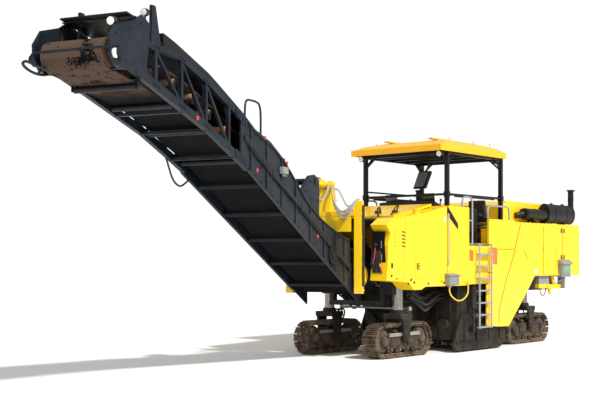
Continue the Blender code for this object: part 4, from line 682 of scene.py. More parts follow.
def housing():
    """Ribs, bolts, steps and hoses outside the drum housing."""
    ribs = Piece("housing_detail", "chassis", "housing_black", "black")
    for i in range(5):
        x = -2.24 - 0.32 * i
        ribs.box(x - 0.012, x + 0.012, 1.045, 1.056, 0.74, 1.10)
    ribs.box(-3.58, -2.20, 1.045, 1.056, 1.10, 1.13)
    ribs.bolts([(-2.26 - 0.12 * i, 1.05, 1.165) for i in range(11)], OUT, 0.012, 0.010)
    ribs.mirror()
    ribs.done(0.002)
    front = Piece("housing_front", "chassis", "housing_black", "black")
    for y in (-0.9, -0.62, 0.62, 0.9):
        front.box(-2.165, -2.135, y - 0.012, y + 0.012, 0.26, 1.14)
    front.box(-2.165, -2.14, -1.02, 1.02, 1.12, 1.15)
    front.bolts([(-2.14, -0.95 + 0.1 * i, 1.07) for i in range(20)], FORE, 0.012, 0.010)
    front.rod((-2.13, 0.80, 0.50), (-2.04, 0.80, 0.50), 0.10, 28)
    front.rod((-2.13, -0.80, 0.50), (-2.04, -0.80, 0.50), 0.10, 28)
    front.done(0.002)
    gate = Piece("gate_detail", "gate", "housing_black", "black")
    for i in range(9):
        y = -0.88 + 0.22 * i
        gate.box(-3.665, -3.638, y - 0.012, y + 0.012, 0.10, 0.98)
        gate.bolt((-3.655, y + 0.06, 0.12), -FORE, 0.014, 0.012)
    gate.done(0.002, segments=1)
    hoses = Piece("chassis_hoses", "chassis", "hose_rubber", "rubber")
    rnd = random.Random(3)
    for i in range(16):
        y = 0.66 + 0.018 * (i % 8)
        z = 1.16 - 0.035 * (i // 4) - rnd.uniform(0, 0.03)
        sag = rnd.uniform(0.06, 0.22)
        x0, x1 = -0.98 - rnd.uniform(0, 0.08), -2.12
        hoses.curve([(x0, y, z), (x0 - 0.22, y + 0.02, z - sag * 0.6), (-1.5, y + 0.03, z - sag - 0.04),
                     (-1.85, y + 0.01, z - sag * 0.5), (x1, y, z - 0.04)], rnd.choice((0.012, 0.015, 0.019)),
                    8)
    for i in range(6):
        x = -1.10 - 0.14 * i
        hoses.curve([(x, 0.60, 1.10), (x - 0.03, 0.64, 1.03), (x + 0.04, 0.66, 0.97), (x + 0.10, 0.62, 0.94),
                     (x + 0.16, 0.56, 0.96)], 0.014, 8)
    hoses.mirror()
    hoses.done(0, segments=1)


# ------------------------------------------------------------------ body panels
def seam(piece, points, y, wide=0.006, deep=0.0015):
    """Dark joint line along points of a side panel."""
    for (x0, z0), (x1, z1) in zip(points, points[1:]):
        piece.bar((x0, y, z0), (x1, y, z1), wide, deep * 2, OUT)


def mirrored_to(piece, s):
    """The piece as it is for the left side, or turned over to the right one."""
    if s < 0:
        piece.verts = [Vector((v.x, -v.y, v.z)) for v in piece.verts]
        piece.faces = [tuple(reversed(f)) for f in piece.faces]
    return piece


def tank_side(tag, s):
    y = HALF
    trim = Piece("tank_trim_" + tag, "chassis", "black_paint", "black")
    seam(trim, [(-0.30, 1.32), (-0.36, 2.40)], y)
    seam(trim, [(-1.675, 1.24), (-1.675, 2.62)], y, 0.010)
    for i in range(5):
        z = 1.90 + 0.06 * i
        trim.prism([(-0.36, z), (-0.25, z + 0.012), (-0.24, z + 0.034), (-0.35, z + 0.022)], "y", y,
                   y + 0.003)
        trim.prism([(-0.08, z + 0.01), (-0.035, z + 0.015), (-0.03, z + 0.025), (-0.075, z + 0.02)], "y", y,
                   y + 0.003)
    for x, z in ((-0.52, 1.34), (-0.62, 1.30), (-0.46, 1.28), (-1.05, 1.27), (0.05, 1.42), (-0.10, 1.36),
                 (-1.56, 1.28)):
        trim.rod((x, y - 0.005, z), (x, y + 0.006, z), 0.022, 18)
    trim.box(0.02, 0.06, y, y + 0.012, 1.55, 1.63)
    trim.prism([(-1.66, 2.50), (-1.66, 2.66), (-2.02, 2.34), (-2.02, 2.24)], "y", y - 0.002, y + 0.008)
    mirrored_to(trim, s).done(0.001, segments=1)
    lips = Piece("tank_lips_" + tag, "chassis", "yellow_paint", "yellow")
    edge = [(0.185, 1.35), (-0.43, 1.31), (-0.59, 1.18), (-0.85, 1.18), (-0.98, 1.23), (-1.67, 1.23)]
    for (x0, z0), (x1, z1) in zip(edge, edge[1:]):
        lips.bar((x0, y + 0.001, z0 + 0.012), (x1, y + 0.001, z1 + 0.012), 0.020, 0.012, OUT)
    top = [(0.185, 2.26), (0.0, 2.38), (-0.50, 2.42), (-1.67, 2.63)]
    for (x0, z0), (x1, z1) in zip(top, top[1:]):
        lips.bar((x0, y - 0.01, z0), (x1, y - 0.01, z1), 0.024, 0.030, OUT)
    lips.bolts([(x, y, 1.28) for x in (-1.10, -1.30, -1.50, -1.62)], OUT, 0.009, 0.006)
    lips.bolts([(x, y, z) for x in (-0.55, -0.95, -1.60) for z in (1.85, 2.18)], OUT, 0.008, 0.005)
    lips.bolts([(-0.42, y, 1.5 + 0.22 * i) for i in range(4)], OUT, 0.008, 0.005)
    lips.rod((-0.9, 1.0, 2.46), (-0.9, 1.0, 2.56), 0.06, 28)
    lips.rod((-0.9, 1.0, 2.55), (-0.9, 1.0, 2.575), 0.072, 28)
    mirrored_to(lips, s).done(0.002)
    rail = Piece("tank_rail_" + tag, "chassis", "galvanised", "grey")
    rail.curve([(-1.68, y + 0.004, 1.62), (-1.68, y + 0.030, 1.66), (-1.68, y + 0.030, 2.44),
                (-1.68, y + 0.004, 2.48)],
               0.010, 10)
    mirrored_to(rail, s).done(0, segments=1)
    # front face: a thin black plate for the opening, partly the black parts inside it and partly painted
    # shade, with pipes, and the yellow brackets round it
    # the flat black plate paints the shade inside the opening onto the front face
    opening_shade = Piece("tank_opening_shade_" + tag, "chassis", "black_paint", "black")
    opening_shade.prism([(0.825, 1.36), (1.10, 1.36), (1.12, 1.50), (1.08, 1.98), (1.10, 2.16), (0.825, 2.16)], "x",
                 0.150, 0.156)
    opening_shade.box(0.085, 0.100, 0.84, 1.10, 2.18, 2.22)
    for i in range(7):
        z = 1.42 + 0.095 * i
        opening_shade.rod((0.156, 0.90, z), (0.178, 0.90, z), 0.022, 14)
        opening_shade.rod((0.156, 0.99, z + 0.03), (0.172, 0.99, z + 0.03), 0.016, 12)
    mirrored_to(opening_shade, s).done(0.002)
    rods = Piece("front_valves_" + tag, "chassis", "chrome", "chrome")
    for z in (1.50, 1.72, 1.94):
        rods.rod((0.17, 0.93, z), (0.195, 0.93, z), 0.030, 20)
        rods.rod((0.175, 1.03, z - 0.06), (0.175, 1.03, z + 0.06), 0.014, 14)
    mirrored_to(rods, s).done(0.002)
    red = Piece("front_red_lines_" + tag, "chassis", "reflector_red", "yellow")
    red.curve([(0.16, 0.87, 1.55), (0.195, 0.88, 1.64), (0.195, 0.91, 1.80), (0.16, 0.90, 1.92)], 0.010, 8)
    red.curve([(0.16, 1.06, 1.42), (0.19, 1.05, 1.50), (0.19, 1.00, 1.62), (0.16, 0.98, 1.70)], 0.010, 8)
    mirrored_to(red, s).done(0, segments=1)
    pipes = Piece("front_pipes_" + tag, "chassis", "hose_rubber", "rubber")
    rnd = random.Random(5)
    for i in range(9):
        yy = 0.845 + 0.022 * i
        pipes.curve([(0.165, yy, 1.86 - 0.02 * (i % 3)), (0.185, yy, 1.76), (0.190, yy - 0.02, 1.62),
                     (0.180, yy + 0.01, 1.50), (0.165, yy, 1.38 + 0.02 * (i % 2))], 0.009 + 0.003 * (i % 2),
                    8)
    for i in range(7):
        z = 1.30 + 0.12 * i
        yy = rnd.uniform(0.66, 0.76)
        pipes.curve([(-0.46, 0.70, z), (-0.30, yy, z + 0.06), (-0.12, yy + 0.04, z - 0.06),
                     (0.04, 0.78, z + 0.03),
                     (0.10, 0.80, z)], 0.013, 8)
    mirrored_to(pipes, s).done(0, segments=1)
    block = Piece("valve_block_" + tag, "chassis", "grey_paint", "black")
    block.box(-0.44, -0.24, 0.64, 0.80, 1.45, 1.95)
    for i in range(4):
        z = 1.52 + 0.11 * i
        block.rod((-0.24, 0.68, z), (-0.17, 0.68, z), 0.020, 6)
        block.rod((-0.24, 0.76, z), (-0.19, 0.76, z), 0.026, 16)
        block.box(-0.24, -0.215, 0.65, 0.79, z + 0.04, z + 0.06)
    mirrored_to(block, s).done(0.003)


def service_door():
    door = Piece("service_door_detail", "door_service_l", "yellow_paint", "yellow")
    y = HALF + 0.006
    door.box(-1.36, -0.74, y - 0.002, y + 0.003, 1.42, 1.70)
    for z in (1.43, 1.65):
        door.rod((-1.425, y + 0.001, z), (-1.425, y + 0.001, z + 0.05), 0.012, 14)
        door.box(-1.42, -1.37, y, y + 0.005, z + 0.005, z + 0.045)
    door.done(0.0025)
    latch = Piece("service_door_latch", "door_service_l", "black_plastic", "black")
    latch.prism([(-0.78, 1.52), (-0.70, 1.52), (-0.70, 1.63), (-0.78, 1.63)], "y", y, y + 0.010)
    latch.rod((-0.74, y, 1.575), (-0.74, y + 0.018, 1.575), 0.018, 16)
    latch.done(0.003)


def rear_side(tag, s):
    y = HALF
    trim = Piece("rear_trim_" + tag, "chassis", "black_paint", "black")
    seam(trim, [(-6.14, 1.39), (-6.14, 2.41)], y, 0.014)
    seam(trim, [(-4.35, 2.42), (-4.10, 1.89)], y + 0.001, 0.018)
    trim.box(-5.30, -5.28, y, y + 0.008, 1.86, 1.96)
    for x, z in ((-6.08, 1.75), (-6.20, 1.75), (-6.08, 2.30), (-6.20, 2.30)):
        trim.box(x - 0.02, x + 0.02, y, y + 0.010, z - 0.045, z + 0.045)
    for x in (-5.1, -5.5, -6.0, -6.6):
        trim.rod((x, y - 0.004, 1.385), (x, y + 0.004, 1.385), 0.012, 12)
    mirrored_to(trim, s).done(0.002, segments=1)
    lips = Piece("rear_lips_" + tag, "chassis", "yellow_paint", "yellow")
    lips.prism([(-4.09, 1.86), (-4.09, 2.43), (-4.17, 2.43), (-4.56, 1.86)], "y", y - 0.03, y - 0.001)
    lips.box(-6.90, -4.95, y - 0.003, y + 0.006, 1.372, 1.392)
    lips.box(-6.90, -4.14, y - 0.012, y + 0.005, 2.405, 2.432)
    lips.bolts([(x, y, z) for x in (-6.82, -6.25) for z in (1.48, 1.9, 2.32)], OUT, 0.009, 0.006)
    for x in (-4.4, -4.9, -5.6, -6.6):
        lips.rod((x, 1.06, 2.43), (x, 1.06, 2.455), 0.012, 8)
    mirrored_to(lips, s).done(0.002)
    door = Piece("rear_door_detail_" + tag, "door_rear_" + tag, "yellow_paint", "yellow")
    y = HALF + 0.006
    for z in (1.50, 2.22):
        door.rod((-5.296, y, z), (-5.296, y, z + 0.07), 0.013, 14)
        door.box(-5.36, -5.305, y - 0.001, y + 0.005, z + 0.005, z + 0.065)
    door.box(-5.86, -5.42, y - 0.001, y + 0.003, 1.46, 1.475)
    door.box(-5.86, -5.42, y - 0.001, y + 0.003, 2.28, 2.295)
    mirrored_to(door, s).done(0.002)
    skirt = Piece("skirt_detail_" + tag, "chassis", "yellow_paint", "yellow")
    y = HALF + 0.020
    edge = [(-3.00, 0.46), (-3.00, 1.21), (-3.13, 1.24), (-3.13, 1.88)]
    for (x0, z0), (x1, z1) in zip(edge, edge[1:]):
        skirt.bar((x0 - 0.012, y, z0), (x1 - 0.012, y, z1), 0.022, 0.008, OUT)
    edge = [(-4.84, 1.36), (-4.56, 1.08), (-3.84, 0.43), (-3.02, 0.47)]
    for (x0, z0), (x1, z1) in zip(edge, edge[1:]):
        skirt.bar((x0 + 0.01, y, z0 + 0.012), (x1 + 0.01, y, z1 + 0.012), 0.022, 0.008, OUT)
    skirt.bolts([(-3.10, y, 0.55), (-3.10, y, 1.10), (-3.25, y, 1.80), (-4.0, y, 1.80), (-4.70, y, 1.32),
                 (-3.9, y, 0.55)],
                OUT, 0.010, 0.006)
    mirrored_to(skirt, s).done(0.002)
    line = Piece("skirt_line_" + tag, "chassis", "black_paint", "black")
    seam(line, [(-4.10, 1.89), (-3.74, 1.30), (-3.47, 0.74), (-3.47, 0.44)], y, 0.018)
    mirrored_to(line, s).done(0, segments=1)
    box = Piece("control_box_detail_" + tag, "chassis", "box_grey", "black")
    y = HALF + 0.09
    box.box(BOX_X - 0.16, BOX_X + 0.16, y - 0.002, y + 0.010, 1.37, 1.58)
    for k in range(4):
        box.rod((BOX_X - 0.12 + 0.08 * k, y, 1.40), (BOX_X - 0.12 + 0.08 * k, y + 0.018, 1.40), 0.012, 12)
    box.rod((BOX_X - 0.19, y - 0.05, 1.62), (BOX_X - 0.19, y - 0.02, 1.69), 0.016, 14)
    box.curve([(BOX_X + 0.10, y - 0.05, 1.34), (BOX_X + 0.11, y - 0.05, 1.28), (BOX_X + 0.20, y - 0.12, 1.22),
               (BOX_X + 0.30, y - 0.16, 1.18)], 0.010, 8)
    mirrored_to(box, s).done(0.003)
    screen = Piece("control_screen_" + tag, "chassis", "screen_green", "black")
    screen.prism([(BOX_X - 0.10, 1.45), (BOX_X + 0.10, 1.45), (BOX_X + 0.10, 1.56), (BOX_X - 0.10, 1.56)],
                 "y",
                 y + 0.008, y + 0.013)
    mirrored_to(screen, s).done(0.002)
    arm = Piece("sensor_arm_" + tag, "chassis", "yellow_worn", "yellow")
    arm.box(-6.18, -5.58, 1.025, 1.115, 1.095, 1.185)
    arm.box(-5.67, -5.21, 1.005, 1.095, 1.115, 1.20)
    arm.rod((-5.44, 1.05, 1.09), (-5.44, 1.05, 1.13), 0.05, 24)
    arm.rod((-5.72, 1.07, 1.02), (-5.72, 1.07, 1.10), 0.035, 20)
    arm.rod((-5.72, 1.07, 0.98), (-5.72, 1.07, 1.02), 0.022, 16)
    arm.prism([(-6.00, 1.19), (-5.90, 1.19), (-5.82, 1.36), (-5.92, 1.36)], "y", 1.03, 1.06)
    arm.bolts([(x, 1.115, 1.14) for x in (-6.1, -5.95, -5.8)], OUT, 0.010, 0.010)
    mirrored_to(arm, s).done(0.003)


def plates_and_patches():
    patch = Piece("reflective_patches", "chassis", "reflector_amber", "yellow")
    for x0, x1, z0, z1 in ((-2.56, -2.42, 1.66, 1.88), (-3.40, -3.18, 1.60, 1.93)):
        y = HALF if x0 > -3 else HALF + 0.02
        patch.prism([(x0, z0), (x1, z0 + 0.02), (x1, z1), (x0, z1 - 0.02)], "y", y, y + 0.0015)
    patch.mirror()
    patch.done(0, segments=1)
    plate = Piece("blank_plates", "chassis", "white_plate", "yellow")
    plate.prism([(-1.62, 2.36), (-1.56, 2.36), (-1.56, 2.46), (-1.62, 2.46)], "y", HALF, HALF + 0.003)
    plate.prism([(-5.02, 1.42), (-4.92, 1.42), (-4.92, 1.50), (-5.02, 1.50)], "y", HALF, HALF + 0.003)
    plate.mirror()
    plate.done(0.001, segments=1)
    dots = Piece("red_dots", "chassis", "reflector_red", "yellow")
    for x, z in ((-0.55, 1.36), (-1.48, 1.30), (-6.45, 1.44)):
        dots.rod((x, HALF - 0.002, z), (x, HALF + 0.004, z), 0.016, 16)
    dots.mirror()
    dots.done(0.001, segments=1)


def level_boxes():
    for tag, s in (("l", 1), ("r", -1)):
        y = HALF + 0.09
        box = Piece("level_detail_" + tag, "chassis", "box_grey", "black")
        box.box(LEVEL_X - 0.15, LEVEL_X + 0.15, y - 0.002, y + 0.008, 1.255, 1.385)
        for k in range(3):
            box.rod((LEVEL_X - 0.10 + 0.09 * k, y, 1.34), (LEVEL_X - 0.10 + 0.09 * k, y + 0.016, 1.34), 0.016,
                    16)
        box.prism([(y - 0.10, 1.398), (y + 0.02, 1.398), (y + 0.03, 1.42), (y - 0.10, 1.45)], "x",
                  LEVEL_X - 0.18,
                  LEVEL_X + 0.18)
        box.rod((LEVEL_X + 0.09, HALF + 0.045, 1.201), (LEVEL_X + 0.09, HALF + 0.045, 1.24), 0.022, 16)
        mirrored_to(box, s).done(0.003)


def top_details():
    """Covers, hoses and handles on the front hood, the engine hood and the rear deck."""
    hood = Piece("front_hood_detail", "chassis", "yellow_paint", "yellow")
    for y in (-0.55, 0.0, 0.55):
        hood.bar((-0.56, y, 2.435), (-1.60, y, 2.655), 0.40, 0.030, UP)
    hood.bolts([(-0.52, -0.75 + 0.15 * i, 2.452) for i in range(11)], UP, 0.010, 0.008)
    hood.box(-0.60, -0.505, -0.60, -0.30, 2.40, 2.52)
    hood.done(0.006)
    lids = Piece("front_lids", "chassis", "black_plastic", "black")
    for y in (-0.62, -0.2, 0.25, 0.62):
        lids.rod((-0.80, y, 2.49), (-0.80, y, 2.56), 0.055, 24)
    lids.curve([(-0.75, 0.35, 2.50), (-0.62, 0.42, 2.60), (-0.45, 0.50, 2.56), (-0.30, 0.62, 2.44)], 0.018,
               10)
    lids.curve([(-0.90, -0.35, 2.52), (-0.70, -0.30, 2.64), (-0.50, -0.10, 2.60), (-0.20, 0.0, 2.42)], 0.018,
               10)
    lids.curve([(-1.10, 0.45, 2.58), (-0.95, 0.60, 2.66), (-0.70, 0.70, 2.60), (-0.52, 0.74, 2.46)], 0.013,
               10)
    lids.done(0.003)
    engine = Piece("engine_hood_detail", "hood", "yellow_paint", "yellow")
    for y in (-0.42, 0.42):
        engine.box(-5.70, -4.55, y - 0.22, y + 0.22, 2.855, 2.880)
    for s in (-1, 1):
        for i in range(10):
            x = -5.55 + 0.11 * i
            engine.prism([(x, 2.56), (x + 0.06, 2.56), (x + 0.06, 2.76), (x, 2.76)], "y",
                         *sorted((s * 0.855, s * 0.868)))
        engine.bolts([(x, s * 0.86, 2.48) for x in (-5.9, -5.2, -4.5)], OUT * s, 0.010, 0.008)
    engine.done(0.004)
    grille = Piece("rear_grille", "chassis", "black_paint", "black")
    for i in range(33):
        y = -0.80 + 0.05 * i
        grille.box(-6.900, -6.892, y - 0.004, y + 0.004, 1.53, 2.30)
    grille.done(0, segments=1)
    rear = Piece("rear_detail", "chassis", "yellow_paint", "yellow")
    for z0, z1 in ((1.50, 1.535), (2.30, 2.335)):
        rear.box(-6.928, -6.915, -0.90, 0.90, z0, z1)
    for y in (-0.9, 0.9):
        rear.box(-6.928, -6.915, y - 0.02, y + 0.02, 1.50, 2.335)
    rear.bolts([(-6.92, y, z) for y in (-1.05, 1.05) for z in (1.45, 1.7, 1.95, 2.2)], -FORE, 0.010, 0.007)
    rear.done(0.003)
    lights_rear = Piece("rear_lights", "chassis", "reflector_red", "yellow")
    for y in (-1.03, 1.03):
        lights_rear.rod((-6.915, y, 2.33), (-6.935, y, 2.33), 0.045, 24)
        lights_rear.rod((-6.915, y, 1.56), (-6.930, y, 1.56), 0.035, 24)
    lights_rear.done(0.004)


def exhaust():
    y = 0.99
    muffler = Piece("muffler_detail", "chassis", "black_paint", "black")
    ring = [(y + 0.130 * math.cos(a),
             2.655 + 0.200 * math.sin(a)) for a in (2 * math.pi * k / 40 for k in range(40))]
    band = [(y + 0.136 * math.cos(a),
             2.655 + 0.206 * math.sin(a)) for a in (2 * math.pi * k / 40 for k in range(40))]
    muffler.prism(ring, "x", -6.78, -5.62)
    for x in (-5.64, -5.95, -6.45, -6.76):
        muffler.prism(band, "x", x - 0.018, x + 0.018)
    for x in (-5.95, -6.45):
        muffler.box(x - 0.02, x + 0.02, y - 0.02, y + 0.02, 2.85, 2.88)
        muffler.bolt((x, y - 0.03, 2.865), -OUT, 0.010, 0.014)
    for x in (-4.82, -5.20):
        muffler.rod((x - 0.018, y, 2.62), (x + 0.018, y, 2.62), 0.1165, 32)
    muffler.rod((-6.84, y, 2.98), (-6.84, y, 3.0), 0.066, 24)
    muffler.rod((-6.84, y, 3.165), (-6.84, y, 3.185), 0.068, 24)
    muffler.rod((-6.91, y - 0.03, 3.19), (-6.91, y + 0.03, 3.19), 0.012, 12)
    muffler.rod((-4.60, y - 0.10, 2.58), (-4.75, y, 2.62), 0.06, 20)
    muffler.done(0.003)


# ------------------------------------------------------------------ ladders, platform and canopy
def ladder_side(tag, s):
    y = HALF + 0.085
    treads = Piece("treads_" + tag, "chassis", "galvanised", "grey")
    for i in range(7):
        z = 0.44 + 0.225 * i
        treads.box(-3.085, -2.635, y - 0.055, y + 0.022, z + 0.008, z + 0.014)
        for k in range(10):
            treads.rod((-3.05 + 0.042 * k, y - 0.03, z + 0.013), (-3.05 + 0.042 * k, y - 0.03, z + 0.018),
                       0.010, 8)
        treads.box(-3.085, -2.635, y - 0.058, y - 0.052, z - 0.015, z + 0.014)
    for x in (-2.64, -3.08):
        treads.rod((x, y, 0.42), (x, y, 0.43), 0.022, 12)
        treads.bolts([(x, y, z) for z in (1.45, 1.90)], OUT, 0.010, 0.022)
    yr = HALF - 0.06
    for x in (-2.27, -2.62, -3.18, -4.0):
        treads.box(x - 0.045, x + 0.045, yr - 0.045, yr + 0.045, 1.951, 1.960)
        treads.bolts([(x + 0.03, yr + 0.03, 1.96), (x - 0.03, yr - 0.03, 1.96)], UP, 0.007, 0.006)
    treads.tube([(-3.18, yr, 2.35), (-4.0, yr, 2.35)], 0.014, 10)
    treads.tube([(-2.27, yr, 2.42), (-2.62, yr, 2.42)], 0.014, 10)
    mirrored_to(treads, s).done(0.001, segments=1)
    wall = Piece("wall_trim_" + tag, "chassis", "yellow_paint", "yellow")
    wall.box(-2.39, -1.69, HALF - 0.034, HALF + 0.006, 2.62, 2.655)
    wall.box(-4.11, -3.13, HALF - 0.034, HALF + 0.006, 2.435, 2.462)
    wall.box(-2.405, -2.385, HALF - 0.034, HALF + 0.006, 1.95, 2.64)
    wall.box(-3.135, -3.115, HALF - 0.034, HALF + 0.006, 1.95, 2.45)
    wall.bolts([(-2.36, HALF, 1.3 + 0.2 * i) for i in range(6)], OUT, 0.009, 0.006)
    mirrored_to(wall, s).done(0.002)
    panel = Piece("under_step_" + tag, "chassis", "housing_black", "black")
    panel.box(-3.05, -2.66, 1.06, 1.075, 1.02, 1.23)
    for i in range(2):
        panel.box(-3.04, -2.67, 1.072, 1.082, 1.06 + 0.09 * i, 1.09 + 0.09 * i)
    panel.box(-3.04, -2.67, 1.085, 1.10, 1.26, 1.86)
    panel.box(-3.02, -2.66, 0.93, 0.955, 2.22, 2.66)
    panel.box(-2.98, -2.70, 0.955, 0.965, 2.28, 2.60)
    panel.rod((-2.68, 0.94, 1.951), (-2.68, 0.94, 2.66), 0.014, 12)
    panel.rod((-3.00, 0.94, 1.951), (-3.00, 0.94, 2.66), 0.014, 12)
    mirrored_to(panel, s).done(0.003)


def seats():
    """Padded seats on the CAD seats' frames: base, back and armrests."""
    for tag, s in (("l", 1), ("r", -1)):
        y = s * 0.68
        name = "left" if s > 0 else "right"
        frame_piece = Piece("seat_frame_" + tag, "chassis", "black_plastic", "black")
        frame_piece.box(-3.45, -3.15, y - 0.10, y + 0.10, 1.955, 2.30)
        for k in range(5):
            frame_piece.box(-3.46, -3.14, y - 0.11, y + 0.11, 2.03 + 0.05 * k, 2.05 + 0.05 * k)
        frame_piece.box(-3.50, -3.05, y - 0.20, y + 0.20, 2.295, 2.325)
        for k in (-1, 1):
            frame_piece.bar((-3.47, y + k * 0.215, 2.50), (-3.16, y + k * 0.215, 2.56), 0.05, 0.035)
            frame_piece.rod((-3.45, y + k * 0.215, 2.34), (-3.45, y + k * 0.215, 2.50), 0.012, 10)
        frame_piece.done(0.006, replaces=("seat_" + name,))
        cushion("seat_base_" + tag, (-3.25, y, 2.372), (0.47, 0.40, 0.085), 0.0, 3)
        cushion("seat_back_" + tag, (-3.505, y, 2.63), (0.44, 0.38, 0.085), math.radians(80), 4)


def cushion(name, centre, size, pitch, channels):
    """Crowned pad with pulled-in corners and sewn channels."""
    nx, ny = 26, 22
    verts, faces = [], []
    for layer in (1, -1):
        for i in range(nx + 1):
            for j in range(ny + 1):
                u, v = 2 * i / nx - 1, 2 * j / ny - 1
                edge = (1 - abs(u) ** 4) * (1 - abs(v) ** 4)
                crown = 0.5 * size[2] * (0.35 + 0.65 * edge ** 0.5)
                dip = 0.010 * sum(math.exp(-((u - (2 * (k + 1) / (channels + 1) - 1)) / 0.045) ** 2)
                                  for k in range(channels))
                pull = 1 - 0.04 * (abs(u) ** 6) * (abs(v) ** 6) - 0.02 * (1 - edge)
                z = layer * (crown - (dip if layer > 0 else 0.0) * edge)
                verts.append(Vector((u * pull * size[0] / 2, v * pull * size[1] / 2, z)))
    count = (nx + 1) * (ny + 1)
    for layer in (0, 1):
        for i in range(nx):
            for j in range(ny):
                a = layer * count + i * (ny + 1) + j
                q = (a, a + ny + 1, a + ny + 2, a + 1)
                faces.append(q if layer == 0 else tuple(reversed(q)))
    rim = [i * (ny + 1) for i in range(nx + 1)] + [nx * (ny + 1) + j for j in range(1, ny + 1)]
    rim += [i * (ny + 1) + ny for i in range(nx - 1, -1, -1)] + [j for j in range(ny - 1, 0, -1)]
    for a, b in zip(rim, rim[1:] + rim[:1]):
        faces.append((b, a, a + count, b + count))
    turn = Matrix.Translation(centre) @ Matrix.Rotation(-pitch, 4, "Y")
    pad = Piece(name, "chassis", "seat_vinyl", "seat")
    pad.add([turn @ v for v in verts], faces)
    ob = pad.done(0, angle=80)
    sub = ob.modifiers.new("soft", "SUBSURF")
    sub.levels = sub.render_levels = 1
    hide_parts("seat_left" if name.endswith("_l") else "seat_right")


def console():
    desk = Piece("console_detail", "chassis", "black_plastic", "black")
    for y in (-0.42, 0.42):
        desk.prism([(-2.42, 2.62), (-2.10, 2.70), (-2.08, 2.79), (-2.38, 2.71)], "y", y - 0.16, y + 0.16)
        for k in (-1, 1):
            desk.rod((-2.36, y + k * 0.12, 2.66), (-2.40, y + k * 0.12, 2.80), 0.012, 12)
            desk.rod((-2.40, y + k * 0.12, 2.79), (-2.405, y + k * 0.12, 2.835), 0.022, 16)
        for k in range(8):
            desk.rod((-2.28 + 0.03 * (k % 4), y - 0.06 + 0.12 * (k // 4), 2.71),
                     (-2.28 + 0.03 * (k % 4), y - 0.06 + 0.12 * (k // 4), 2.755), 0.009, 10)
    desk.rod((-2.20, 0.0, 2.60), (-2.20, 0.0, 2.84), 0.016, 12)
    desk.done(0.004)
    glass = Piece("console_screens", "chassis", "screen_dark", "black")
    for y in (-0.42, 0.42):
        glass.prism([(-2.20, 2.755), (-2.17, 2.93), (-2.15, 2.93), (-2.18, 2.755)], "y", y - 0.13, y + 0.13)
    glass.done(0.004)


